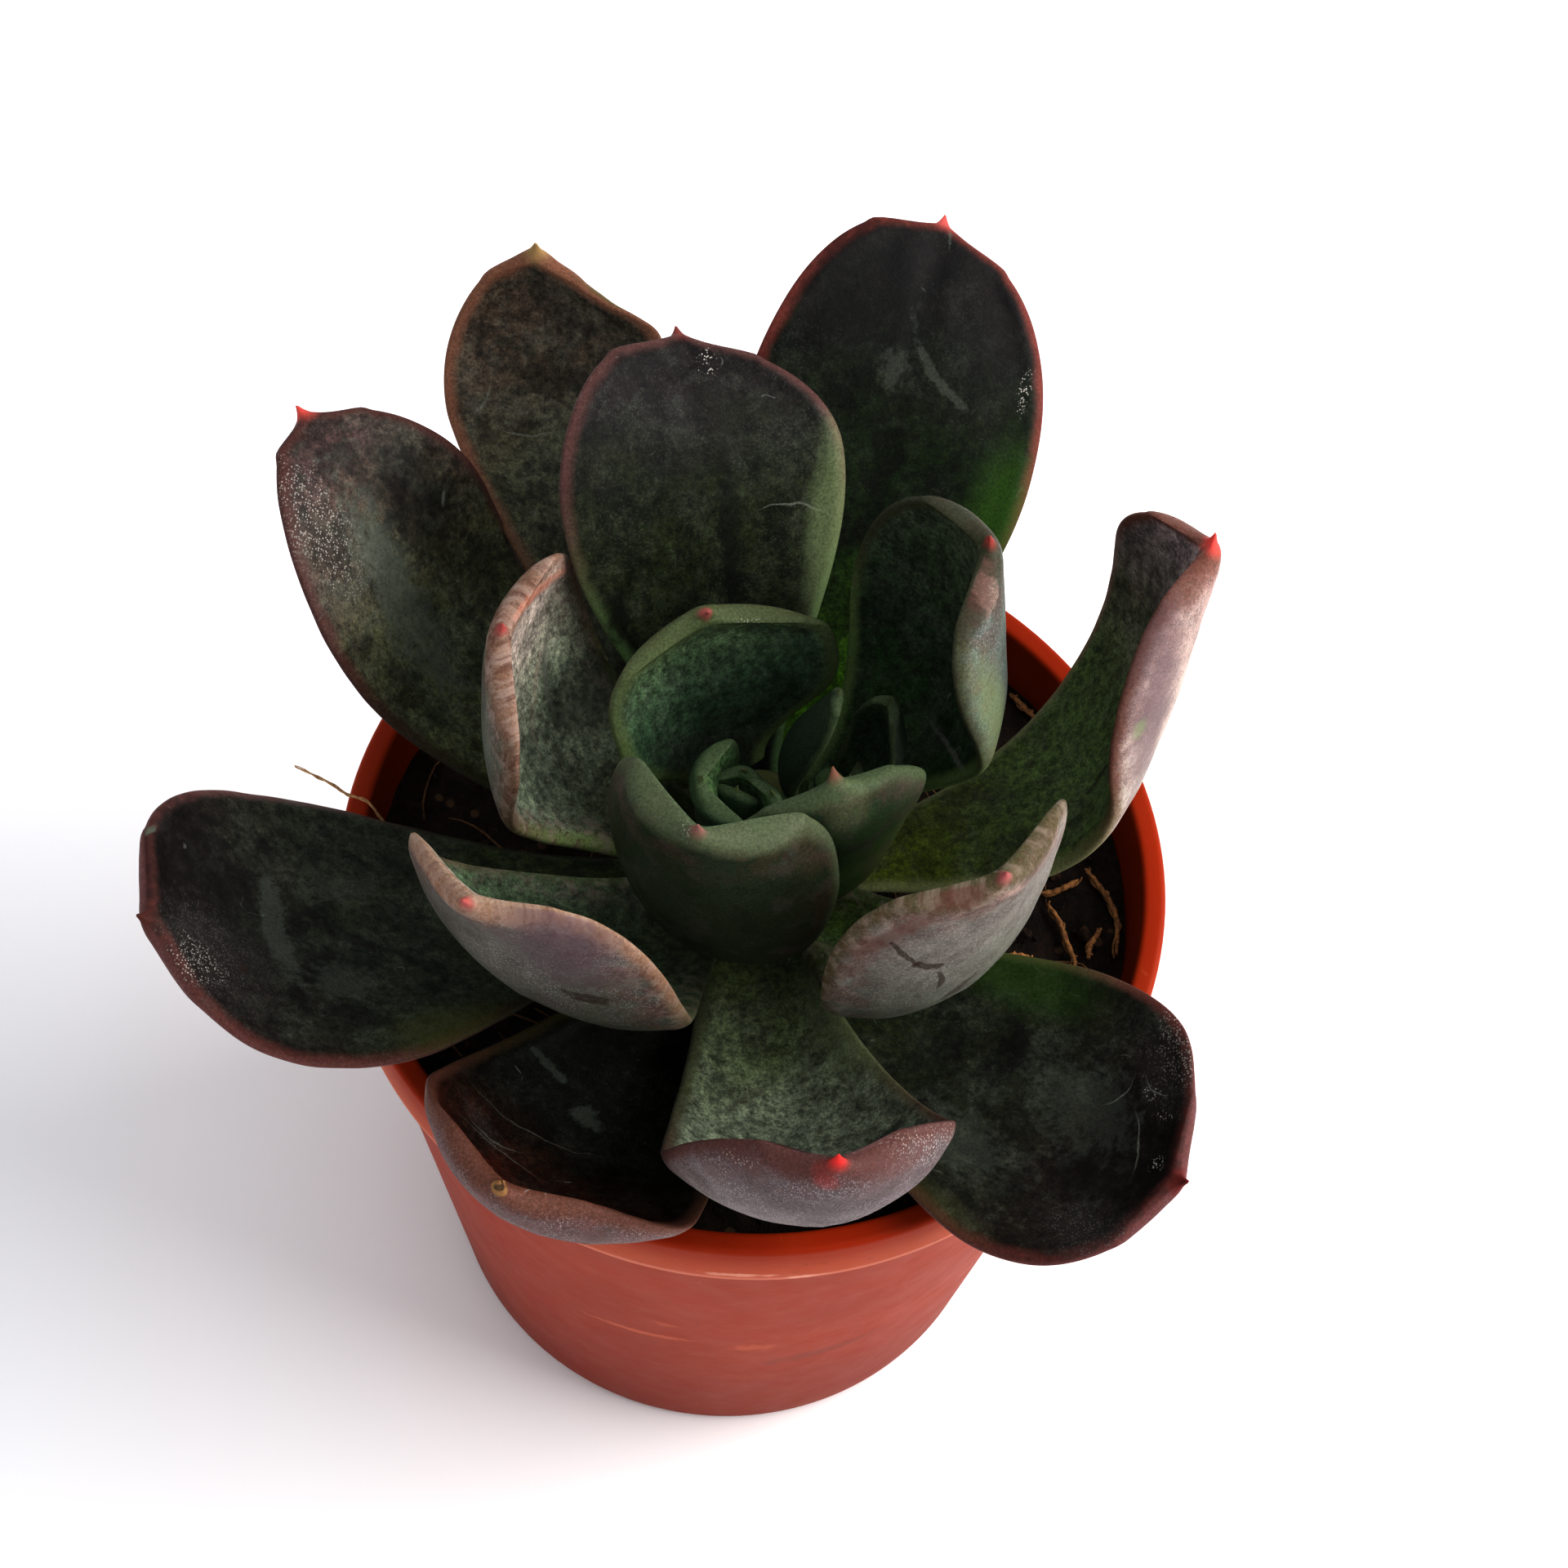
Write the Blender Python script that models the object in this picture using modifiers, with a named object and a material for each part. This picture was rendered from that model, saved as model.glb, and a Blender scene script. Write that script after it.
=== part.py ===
"""A potted echeveria: a plastic nursery pot, its soil, a short stem and a rosette of thick leaves.

Metres, +Z up. The origin is the middle of the pot's flat base, which the part rests on. Lengths below
are in millimetres and angles in degrees, and MM turns a length into metres. A leaf's heading is counted
round the stem from +X towards +Y, and its slope from the horizontal.
"""

import math
from dataclasses import dataclass

import bmesh
import bpy
import numpy as np
from mathutils import Vector, noise

MM = 0.001
GAP = 0.3
MERGE = 0.00001

# Pot
POT_HEIGHT = 75.0
RIM_RADIUS = 42.5
RIM_WIDTH = 2.4
LIP_HEIGHT = 7.0
LIP_STEP = 1.5
BASE_RADIUS = 31.5
WALL = 1.2
FLOOR = 1.4
RIM_ROUND = 0.7
BASE_ROUND = 1.6
DRAIN_RADIUS = 3.5
DRAIN_CIRCLE = 18.0
DRAINS = 5
POT_STEPS = 60

# Soil
SOIL_TOP = 68.2
SOIL_RELIEF = 0.6
SOIL_LUMP = 7.0
SOIL_RINGS = 12
SOIL_STEPS = 42
STEM_HOLE_FLOOR = 57.0

# Stem
STEM_RADIUS = 5.2
STEM_TAPER_FROM = 81.0
STEM_TOP = 88.0
STEM_NECK = 4.5
STEM_STEPS = 20

# Leaves
LEAF_THICKNESS = 2.8
YOUNG_THICKNESS = 1.7
POINT_LENGTH = 2.2
LEAF_FOOT = 5.7
SLOPE_AT = (0.0, 0.35, 0.72, 1.0)
SPINE_STEPS = 240
LEAF_RINGS = 16
YOUNG_RINGS = 10
LEAF_SIDES = 12
FOOT_RING = 0.03

# Growing tip and side shoot
TIP_MIDDLE = (-2.2, -2.6)
TIP_RADIUS = 2.2
TIP_TOP = 93.5
SHOOT_MIDDLE = (6.6, 0.6)
SHOOT_RADIUS = 1.5
SHOOT_ROUTE = ((3.2, 0.2, 89.9), (5.0, 0.4, 90.2), (6.3, 0.6, 91.1), (6.6, 0.6, 93.2))

# Coir fibres
FIBRE_RADIUS = 0.35
FIBRE_LIFT = 0.5
FIBRE_SIDES_LEVEL = 2
FIBRE_POINTS_PER_SPAN = 3


@dataclass(frozen=True)
class Leaf:
    """One leaf: where it leaves the stem, how its midline runs and how its blade is spread on it.

    slope is the midline's, at the places along it in SLOPE_AT. turn is how far the heading has swung at
    the point, roll and cup are given at the foot and at the point, and swing moves the foot round the
    stem from the heading. widest is the place of the widest section, and neck the foot's share of width.
    """

    name: str
    heading: float
    height: float
    length: float
    width: float
    slope: tuple
    turn: float = 0.0
    roll: tuple = (0.0, 0.0)
    cup: tuple = (20.0, 20.0)
    widest: float = 0.66
    neck: float = 0.26
    end: float = 2.3
    swing: float = 0.0
    thickness: float = LEAF_THICKNESS
    middle: tuple = (0.0, 0.0)
    foot: float = LEAF_FOOT


OUTER_LEAVES = (
    Leaf("leaf_01", heading=204, height=75.5, length=64.5, width=34, slope=(-1, 17, 34, 56),
         turn=3, roll=(27, -4), cup=(6, 15), neck=0.29, end=2.4),
    Leaf("leaf_02", heading=247, height=72.5, length=59, width=31.5, slope=(4, 5, 48, 93),
         turn=-4, roll=(-9, 0), cup=(21, 53), widest=0.70, end=2.1, swing=6),
    Leaf("leaf_03", heading=282, height=77, length=65, width=31, slope=(-10, 17, 65, 99),
         turn=7, roll=(11, -8), cup=(35, 64), widest=0.63, neck=0.20, end=2.1, swing=-10),
    Leaf("leaf_04", heading=319, height=73.5, length=54, width=32.5, slope=(0, 9, 14, 55),
         turn=9, roll=(-10, 14), cup=(12, 24), neck=0.23, end=2.1),
    Leaf("leaf_05", heading=16, height=77, length=68, width=28, slope=(-10, 26, 84, 69),
         turn=60, roll=(16, -70), cup=(-29, 81), widest=0.69, neck=0.20, end=2.7, swing=-15),
    Leaf("leaf_06", heading=76, height=77, length=64.5, width=31, slope=(26, 38, 33, 9),
         turn=6, roll=(-2, 24), cup=(14, 3), widest=0.62, end=2.2),
    Leaf("leaf_07", heading=111, height=80.5, length=49.5, width=30.5, slope=(40, 50, 43, -1),
         turn=-7, roll=(-6, 20), cup=(11, 13), widest=0.69, end=1.9, swing=-3),
    Leaf("leaf_08", heading=122, height=73.5, length=67, width=25.5, slope=(23, 32, 13, 88),
         turn=-11, roll=(9, -32), cup=(22, 45), widest=0.75, neck=0.20, end=1.7, swing=-10),
    Leaf("leaf_09", heading=156, height=77.5, length=63, width=27, slope=(7, 21, 56, 10),
         turn=-24, roll=(4, 15), cup=(10, 16), widest=0.68, neck=0.32, end=1.8, swing=8),
)

MIDDLE_LEAVES = (
    Leaf("leaf_10", heading=170, height=81, length=41, width=29.5, slope=(13, 32, 84, 96),
         roll=(-11, 10), cup=(35, 37), widest=0.75, neck=0.20, end=2.4, swing=3),
    Leaf("leaf_11", heading=232, height=80.5, length=60, width=32, slope=(6, 35, 80, 62),
         turn=-8, roll=(-6, 24), cup=(38, 42), widest=0.57, end=2.1, swing=11),
    Leaf("leaf_12", heading=314, height=80.5, length=56, width=30, slope=(-5, 46, 86, 78),
         turn=-5, cup=(41, 43), widest=0.70, end=2.5),
    Leaf("leaf_13", heading=33, height=85, length=45, width=29, slope=(18, 54, 90, 93),
         turn=-22, roll=(22, 0), cup=(41, 66), widest=0.65, neck=0.21, end=2.4, foot=5.4),
    Leaf("leaf_14", heading=130, height=86, length=25, width=26, slope=(53, 84, 69, 122),
         turn=-8, roll=(0, -7), cup=(42, 37), widest=0.55, neck=0.32, end=2.6),
    Leaf("leaf_15", heading=253, height=84, length=42, width=29.5, slope=(11, 56, 92, 89),
         turn=8, roll=(-16, -3), cup=(38, 84), widest=0.70, end=2.7, swing=6),
    Leaf("leaf_16", heading=297, height=86.5, length=34, width=22, slope=(3, 82, 82, 132),
         turn=-3, roll=(-7, 6), cup=(29, 36), widest=0.71, neck=0.31, end=1.8, swing=5),
)

TIP_LEAVES = (
    Leaf("tip_leaf_1", heading=195, height=89.5, length=10, width=13.5, slope=(66, 85, 75, 111),
         roll=(0, -4), cup=(84, 75), widest=0.58, neck=0.6, end=2.4, swing=4,
         middle=TIP_MIDDLE, foot=2.3),
    Leaf("tip_leaf_2", heading=353, height=89, length=9.5, width=7.5, slope=(64, 77, 90, 118),
         turn=14, roll=(5, 32), cup=(40, 48), widest=0.6, neck=0.6, end=2.6, swing=-22,
         thickness=YOUNG_THICKNESS, middle=TIP_MIDDLE, foot=2.3),
    Leaf("tip_leaf_3", heading=80, height=90, length=7.5, width=6, slope=(75, 88, 96, 120),
         cup=(50, 60), widest=0.6, neck=0.6, thickness=YOUNG_THICKNESS, middle=TIP_MIDDLE, foot=1.4),
    Leaf("tip_leaf_4", heading=250, height=91, length=6, width=4.5, slope=(80, 92, 100, 110),
         cup=(40, 50), widest=0.6, neck=0.6, thickness=YOUNG_THICKNESS, middle=TIP_MIDDLE, foot=1.0),
)

SHOOT_LEAVES = (
    Leaf("shoot_leaf_1", heading=193, height=90.5, length=21.5, width=7, slope=(45, 93, 116, 102),
         roll=(3, -18), cup=(26, 38), widest=0.54, neck=0.49, end=1.9,
         thickness=YOUNG_THICKNESS, middle=SHOOT_MIDDLE, foot=2.1),
    Leaf("shoot_leaf_2", heading=30, height=90, length=17, width=9, slope=(68, 58, 99, 94),
         roll=(7, 9), cup=(67, 83), widest=0.57, neck=0.58, end=1.7, swing=-4,
         thickness=YOUNG_THICKNESS, middle=SHOOT_MIDDLE, foot=2.1),
    Leaf("shoot_leaf_3", heading=318, height=91.5, length=6.5, width=6, slope=(45, 75, 92, 100),
         cup=(60, 60), widest=0.6, neck=0.6, thickness=YOUNG_THICKNESS, middle=SHOOT_MIDDLE, foot=1.2),
)

SOIL_FIBRES = (
    ("fibre_1", ((34.6, 7.5), (36.4, 5.1), (38.1, 1.9), (38.3, -2.4))),
    ("fibre_2", ((30.9, 3.0), (32.4, 0.5), (33.8, -2.9), (34.1, -4.3))),
    ("fibre_3", ((30.1, 4.2), (32.2, 4.7), (34.0, 5.9))),
    ("fibre_4", ((36.6, 0.4), (35.6, -1.5), (35.4, -3.3))),
    ("fibre_5", ((26.2, -4.2), (28.3, -3.8), (29.8, -4.0))),
    ("fibre_6", ((25.5, 28.0), (27.0, 26.6), (28.7, 25.0))),
    ("fibre_7", ((21.2, 28.9), (22.6, 29.3), (24.3, 29.3))),
)

RIM_FIBRE = ("rim_fibre", ((-35.6, 2.1, 69.6), (-38.0, 1.7, 73.0), (-40.0, 2.5, 76.0), (-42.4, 3.0, 76.6),
                           (-44.8, 3.8, 77.6), (-47.8, 4.6, 78.2)))


def smooth_curve(places, values, at):
    """A curve with no kinks through the values at their places, read at other places."""
    places = np.array(places, float)
    values = np.array(values, float)
    rise = np.gradient(values, places, axis=0)
    piece = np.clip(np.searchsorted(places, at, side="right") - 1, 0, len(places) - 2)
    span = places[piece + 1] - places[piece]
    t = np.clip((at - places[piece]) / span, 0, 1)
    if values.ndim > 1:
        span = span[:, None]
        t = t[:, None]
    start = (2 * t**3 - 3 * t**2 + 1) * values[piece] + (t**3 - 2 * t**2 + t) * span * rise[piece]
    finish = (3 * t**2 - 2 * t**3) * values[piece + 1] + (t**3 - t**2) * span * rise[piece + 1]
    return start + finish


def unit(vectors):
    return vectors / np.linalg.norm(vectors, axis=1)[:, None]


def leaf_frames(leaf, places):
    """The midline's points, and the sideways and upward directions of the blade, at places from 0 to 1."""
    steps = np.linspace(0, 1, SPINE_STEPS + 1)
    slope = np.radians(smooth_curve(SLOPE_AT, leaf.slope, steps))
    heading = np.radians(leaf.heading + leaf.turn * steps**2)
    level = np.zeros_like(heading)
    along = np.stack([np.cos(slope) * np.cos(heading), np.cos(slope) * np.sin(heading), np.sin(slope)], -1)
    left = np.stack([-np.sin(heading), np.cos(heading), level], -1)
    run = np.zeros_like(along)
    run[1:] = np.cumsum((along[1:] + along[:-1]) / 2, axis=0) * leaf.length / SPINE_STEPS
    foot_angle = math.radians(leaf.heading + leaf.swing)
    run[:, 0] += leaf.middle[0] + leaf.foot * math.cos(foot_angle)
    run[:, 1] += leaf.middle[1] + leaf.foot * math.sin(foot_angle)
    run[:, 2] += leaf.height

    def read(track):
        return np.stack([np.interp(places, steps, track[:, axis]) for axis in range(3)], -1)

    left = unit(read(left))
    up = np.cross(unit(read(along)), left)
    roll = np.radians(leaf.roll[0] + (leaf.roll[1] - leaf.roll[0]) * places)[:, None]
    return read(run), left * np.cos(roll) + up * np.sin(roll), up * np.cos(roll) - left * np.sin(roll)


def leaf_half_width(leaf, places):
    """Half the blade's width: it grows from the neck, rounds off past the widest place and ends in a point."""
    shoulder = 1 - POINT_LENGTH / leaf.length
    grown = leaf.neck + (1 - leaf.neck) * np.sin(np.pi / 2 * np.clip(places / leaf.widest, 0, 1)) ** 1.7
    past = np.clip((places - leaf.widest) / (shoulder - leaf.widest), 0, 1)
    rounded = (1 - past**leaf.end) ** (1 / leaf.end)
    half = np.where(places < leaf.widest, grown, rounded) * leaf.width / 2
    to_point = np.clip((1 - places) * leaf.length / (2 * POINT_LENGTH), 0, 1)
    point = 0.45 * leaf.thickness * (0.25 * to_point + 0.75 * to_point**2.5)
    return np.where(places > leaf.widest, (half**2.2 + point**2.2) ** (1 / 2.2), half)


def leaf_half_thickness(leaf, places):
    """Half the blade's thickness, which falls a quarter along the leaf and closes at the point."""
    to_point = (1 - places) * leaf.length
    return np.minimum(leaf.thickness / 2 * (1 - 0.25 * places), 0.5 * to_point + 0.02)


def leaf_points(leaf, places, angles):
    """Points of the leaf's skin: at places along it, and at angles round the section from its left edge."""
    middle, left, up = leaf_frames(leaf, places)
    closing = np.clip(places / 0.02, 0, 1) ** 0.5
    half = leaf_half_width(leaf, places) * closing
    thick = np.minimum(leaf_half_thickness(leaf, places) * closing, 0.8 * half)
    across = np.sign(np.cos(angles)) * np.abs(np.cos(angles)) ** 0.85 * half
    lift = np.sign(np.sin(angles)) * np.abs(np.sin(angles)) ** 0.8 * thick
    cup = np.radians(leaf.cup[0] + (leaf.cup[1] - leaf.cup[0]) * places)
    bend = cup / np.maximum(half, 0.000001)
    bend = np.where(np.abs(bend) < 0.000001, 0.000001, bend)
    lean = bend * np.abs(across)
    sideways = np.sign(across) * (np.sin(lean) / bend - np.sin(lean) * lift)
    upward = (1 - np.cos(lean)) / bend + np.cos(lean) * lift
    return middle + left * sideways[:, None] + up * upward[:, None]


def new_collection(name):
    collection = bpy.data.collections.new(name)
    bpy.context.scene.collection.children.link(collection)
    return collection


def new_object(name, mesh, collection):
    item = bpy.data.objects.new(name, mesh)
    collection.objects.link(item)
    return item


def finish(name, colour, roughness):
    """A material of one colour, made once for each name."""
    material = bpy.data.materials.get(name)
    if material is None:
        material = bpy.data.materials.new(name)
        material.use_nodes = True
        material.diffuse_color = (*colour, 1.0)
        shader = material.node_tree.nodes["Principled BSDF"]
        shader.inputs["Base Color"].default_value = (*colour, 1.0)
        shader.inputs["Roughness"].default_value = roughness
        shader.inputs["Metallic"].default_value = 0.0
    return material


def turned(name, profile, steps, collection):
    """A body turned round Z from a profile of radius and height in millimetres."""
    mesh = bpy.data.meshes.new(name)
    corners = [(radius * MM, 0.0, height * MM) for radius, height in profile]
    mesh.from_pydata(corners, [(i, i + 1) for i in range(len(corners) - 1)], [])
    item = new_object(name, mesh, collection)
    screw = item.modifiers.new("turn", "SCREW")
    screw.axis = "Z"
    screw.angle = math.tau
    screw.steps = steps
    screw.render_steps = steps
    screw.use_merge_vertices = True
    screw.merge_threshold = MERGE
    screw.use_smooth_shade = True
    return item


def fixed(item):
    """Turns what the object's modifiers or curve give into its own plain mesh."""
    bpy.context.view_layer.update()
    graph = bpy.context.evaluated_depsgraph_get()
    mesh = bpy.data.meshes.new_from_object(item.evaluated_get(graph))
    item.modifiers.clear()
    item.data = mesh
    return item


def pot_inner_radius(height):
    """The inside of the pot's wall, which is straight from the floor to just under the rim."""
    low_radius = BASE_RADIUS - WALL
    high_radius = RIM_RADIUS - RIM_WIDTH
    share = (height - FLOOR) / (POT_HEIGHT - RIM_ROUND - FLOOR)
    return low_radius + (high_radius - low_radius) * share


def make_pot(collection, cutters):
    lip_radius = RIM_RADIUS - LIP_STEP
    lip_foot = POT_HEIGHT - LIP_HEIGHT
    inner_top = RIM_RADIUS - RIM_WIDTH
    shoulder = RIM_ROUND * (1 - math.sqrt(0.5))
    base_shoulder = BASE_ROUND * (1 - math.sqrt(0.5))
    profile = (
        (0.0, FLOOR),
        (pot_inner_radius(FLOOR) - 1.0, FLOOR),
        (pot_inner_radius(FLOOR + 1.0), FLOOR + 1.0),
        (inner_top, POT_HEIGHT - RIM_ROUND),
        (inner_top + shoulder, POT_HEIGHT - shoulder),
        (inner_top + RIM_ROUND, POT_HEIGHT),
        (RIM_RADIUS - RIM_ROUND, POT_HEIGHT),
        (RIM_RADIUS - shoulder, POT_HEIGHT - shoulder),
        (RIM_RADIUS, POT_HEIGHT - RIM_ROUND),
        (RIM_RADIUS, lip_foot + RIM_ROUND),
        (RIM_RADIUS - shoulder, lip_foot + shoulder),
        (lip_radius, lip_foot),
        (BASE_RADIUS + 0.2, BASE_ROUND),
        (BASE_RADIUS - base_shoulder, base_shoulder),
        (BASE_RADIUS - BASE_ROUND, 0.0),
        (0.0, 0.0),
    )
    pot = turned("pot", profile, POT_STEPS, collection)
    for number in range(DRAINS):
        angle = math.tau * number / DRAINS
        place = Vector((math.cos(angle), math.sin(angle), 0.0)) * DRAIN_CIRCLE * MM
        cutter = drain_cutter(f"drain_cutter_{number + 1}", place, cutters)
        cut = pot.modifiers.new(cutter.name, "BOOLEAN")
        cut.operation = "DIFFERENCE"
        cut.solver = "EXACT"
        cut.object = cutter
    pot.data.materials.append(finish("terracotta_plastic", (0.62, 0.20, 0.09), 0.45))
    return pot


def drain_cutter(name, place, collection):
    """A plug that reaches through the pot's floor."""
    mesh = bpy.data.meshes.new(name)
    shape = bmesh.new()
    bmesh.ops.create_cone(shape, cap_ends=True, segments=24, radius1=DRAIN_RADIUS * MM,
                          radius2=DRAIN_RADIUS * MM, depth=4 * FLOOR * MM)
    shape.to_mesh(mesh)
    shape.free()
    cutter = new_object(name, mesh, collection)
    cutter.location = place
    cutter.hide_render = True
    cutter.display_type = "WIRE"
    return cutter


def soil_height(x, y):
    """The soil's lumpy surface, which is level at the wall and at the stem."""
    radius = math.hypot(x, y)
    edge = pot_inner_radius(SOIL_TOP) - GAP
    calm = min(1.0, (edge - radius) / 4.0, max(0.0, (radius - STEM_RADIUS - 1.0) / 4.0))
    lumps = noise.noise(Vector((x, y, 0.0)) / SOIL_LUMP) + 0.6 * noise.noise(Vector((y, -x, 9.0)) / SOIL_LUMP * 2)
    return SOIL_TOP + SOIL_RELIEF * max(-1.0, min(1.0, 1.8 * lumps)) * max(0.0, calm)


def make_soil(collection):
    """Soil that fills the pot to below its rim, with a plain hole where the stem stands."""
    edge = pot_inner_radius(SOIL_TOP) - GAP
    hole = STEM_RADIUS + GAP
    bottom = FLOOR + GAP
    rings = [hole + (edge - hole) * ring / SOIL_RINGS for ring in range(SOIL_RINGS + 1)]
    profile = [(0.0, STEM_HOLE_FLOOR), (hole, STEM_HOLE_FLOOR)]
    profile += [(radius, SOIL_TOP) for radius in rings]
    profile += [
        (pot_inner_radius(bottom + 1.0) - GAP, bottom + 1.0),
        (pot_inner_radius(bottom) - GAP - 1.0, bottom),
        (0.0, bottom),
    ]
    soil = fixed(turned("soil", profile, SOIL_STEPS, collection))
    for vertex in soil.data.vertices:
        if abs(vertex.co.z - SOIL_TOP * MM) < MERGE:
            vertex.co.z = soil_height(vertex.co.x / MM, vertex.co.y / MM) * MM
    soil.data.materials.append(finish("potting_soil", (0.03, 0.02, 0.015), 0.95))
    return soil


def make_stem(collection):
    """The short stem, from its hole in the soil to where the youngest leaves leave it."""
    profile = (
        (0.0, STEM_TOP),
        (STEM_NECK - 0.8, STEM_TOP),
        (STEM_NECK, STEM_TOP - 0.6),
        (STEM_NECK + 0.4, STEM_TOP - 3.0),
        (STEM_RADIUS, STEM_TAPER_FROM),
        (STEM_RADIUS, STEM_HOLE_FLOOR + 2.0),
        (STEM_RADIUS - 1.2, STEM_HOLE_FLOOR + GAP),
        (0.0, STEM_HOLE_FLOOR + GAP),
    )
    stem = turned("stem", profile, STEM_STEPS, collection)
    stem.data.materials.append(finish("corky_stem", (0.18, 0.14, 0.09), 0.85))
    return stem


def ring_places(ring, rings):
    """Places along a leaf of rings counted from 0 to 1: one near the foot, then closer towards the point."""
    past_foot = np.clip((ring - 1 / rings) / (1 - 1 / rings), 0, 1)
    spread = 0.6 * np.sin(np.pi / 2 * past_foot) + 0.4 * past_foot
    return np.where(ring < 0.5 / rings, 0.0, FOOT_RING + (1 - FOOT_RING) * spread)


def make_leaf(leaf, material, collection):
    """A ball whose rings are laid along the midline and whose poles are the leaf's foot and its point."""
    mesh = bpy.data.meshes.new(leaf.name)
    shape = bmesh.new()
    rings = YOUNG_RINGS if leaf.middle != (0.0, 0.0) else LEAF_RINGS
    bmesh.ops.create_uvsphere(shape, u_segments=LEAF_SIDES, v_segments=rings, radius=1.0)
    ball = np.array([vertex.co for vertex in shape.verts], float)
    ring = 1 - np.arccos(np.clip(ball[:, 2], -1, 1)) / np.pi
    places = ring_places(ring, rings)
    angles = np.arctan2(ball[:, 1], ball[:, 0])
    for vertex, point in zip(shape.verts, leaf_points(leaf, places, angles)):
        vertex.co = Vector(point) * MM
    for face in shape.faces:
        face.smooth = True
    shape.to_mesh(mesh)
    shape.free()
    mesh.materials.append(material)
    return new_object(leaf.name, mesh, collection)


def tube(name, route, radius, collection):
    """A round bar along a route in millimetres, with closed ends."""
    curve = bpy.data.curves.new(name, "CURVE")
    curve.dimensions = "3D"
    curve.bevel_depth = radius * MM
    curve.bevel_resolution = FIBRE_SIDES_LEVEL
    curve.use_fill_caps = True
    spline = curve.splines.new("POLY")
    spline.points.add(len(route) - 1)
    for point, place in zip(spline.points, route):
        point.co = (*(Vector(place) * MM), 1.0)
    return new_object(name, curve, collection)


def welded_mesh(item, collection):
    """The mesh object of a curve, with its loose caps joined to its side."""
    graph = bpy.context.evaluated_depsgraph_get()
    mesh = bpy.data.meshes.new_from_object(item.evaluated_get(graph))
    shape = bmesh.new()
    shape.from_mesh(mesh)
    bmesh.ops.remove_doubles(shape, verts=shape.verts, dist=MERGE)
    shape.to_mesh(mesh)
    shape.free()
    solid = new_object(item.name + "_solid", mesh, collection)
    solid.matrix_world = item.matrix_world
    bpy.data.objects.remove(item, do_unlink=True)
    return solid


def joined(core, name, pieces, material, solver):
    """One closed body of a core and the pieces that grow from it, which are then removed."""
    union = core.modifiers.new("join", "BOOLEAN")
    union.operation = "UNION"
    union.solver = solver
    union.operand_type = "COLLECTION"
    union.collection = pieces
    body = fixed(core)
    for item in list(pieces.objects):
        bpy.data.objects.remove(item, do_unlink=True)
    bpy.data.collections.remove(pieces)
    body.name = name
    body.data.name = name
    body.data.materials.clear()
    body.data.materials.append(material)
    body.data.shade_smooth()
    body.data.set_sharp_from_angle(angle=math.radians(50))
    return body


def make_growing_tip(collection):
    """The heart of the rosette: a short bud on the stem's top, wrapped in its youngest leaves."""
    material = finish("young_leaf", (0.20, 0.30, 0.20), 0.5)
    foot = STEM_TOP + GAP
    profile = (
        (0.0, TIP_TOP),
        (TIP_RADIUS * 0.6, TIP_TOP - 0.6),
        (TIP_RADIUS, TIP_TOP - 2.4),
        (TIP_RADIUS, foot),
        (0.0, foot),
    )
    bud = fixed(turned("bud", profile, 12, collection))
    for vertex in bud.data.vertices:
        vertex.co.x += TIP_MIDDLE[0] * MM
        vertex.co.y += TIP_MIDDLE[1] * MM
    pieces = new_collection("tip_pieces")
    for leaf in TIP_LEAVES:
        make_leaf(leaf, material, pieces)
    return joined(bud, "growing_tip", pieces, material, "EXACT")


def make_side_shoot(collection):
    """A young offset beside the growing tip: a short stalk with a few narrow leaves."""
    material = finish("young_leaf", (0.20, 0.30, 0.20), 0.5)
    stalk = welded_mesh(tube("stalk", SHOOT_ROUTE, SHOOT_RADIUS, collection), collection)
    pieces = new_collection("shoot_pieces")
    for leaf in SHOOT_LEAVES:
        make_leaf(leaf, material, pieces)
    return joined(stalk, "side_shoot", pieces, material, "MANIFOLD")


def smooth_route(points):
    """A smooth route through a few points, with more points between them."""
    points = np.array(points, float)
    places = np.arange(len(points), dtype=float)
    count = FIBRE_POINTS_PER_SPAN * (len(points) - 1) + 1
    return [tuple(point) for point in smooth_curve(places, points, np.linspace(0, len(points) - 1, count))]


def make_fibres(collection):
    """Coir fibres that lie on the soil, and one that hangs out over the rim."""
    material = finish("coir_fibre", (0.45, 0.30, 0.15), 0.8)
    lift = FIBRE_RADIUS + FIBRE_LIFT
    for name, points in SOIL_FIBRES:
        route = [(x, y, soil_height(x, y) + lift) for x, y in smooth_route(points)]
        tube(name, route, FIBRE_RADIUS, collection).data.materials.append(material)
    name, points = RIM_FIBRE
    tube(name, smooth_route(points), FIBRE_RADIUS, collection).data.materials.append(material)


def main():
    for item in list(bpy.data.objects):
        bpy.data.objects.remove(item, do_unlink=True)
    plant = new_collection("potted_echeveria")
    cutters = new_collection("cutters")
    make_pot(plant, cutters)
    make_soil(plant)
    make_stem(plant)
    for leaf in OUTER_LEAVES:
        make_leaf(leaf, finish("outer_leaf", (0.07, 0.10, 0.07), 0.5), plant)
    for leaf in MIDDLE_LEAVES:
        make_leaf(leaf, finish("middle_leaf", (0.12, 0.19, 0.12), 0.5), plant)
    make_growing_tip(plant)
    make_side_shoot(plant)
    make_fibres(plant)


main()
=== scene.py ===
"""Looks of the potted echeveria: finely shaped leaves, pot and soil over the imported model, with finishes.

Lengths are in millimetres and angles in degrees unless a name says otherwise, and MM turns a length into
metres. The origin is the middle of the pot's flat base and +Z is up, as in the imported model.
"""

import logging
import math
import random
from dataclasses import dataclass
from enum import Enum

import bpy
import numpy as np
from mathutils import Euler, Matrix, Vector, noise


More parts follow.
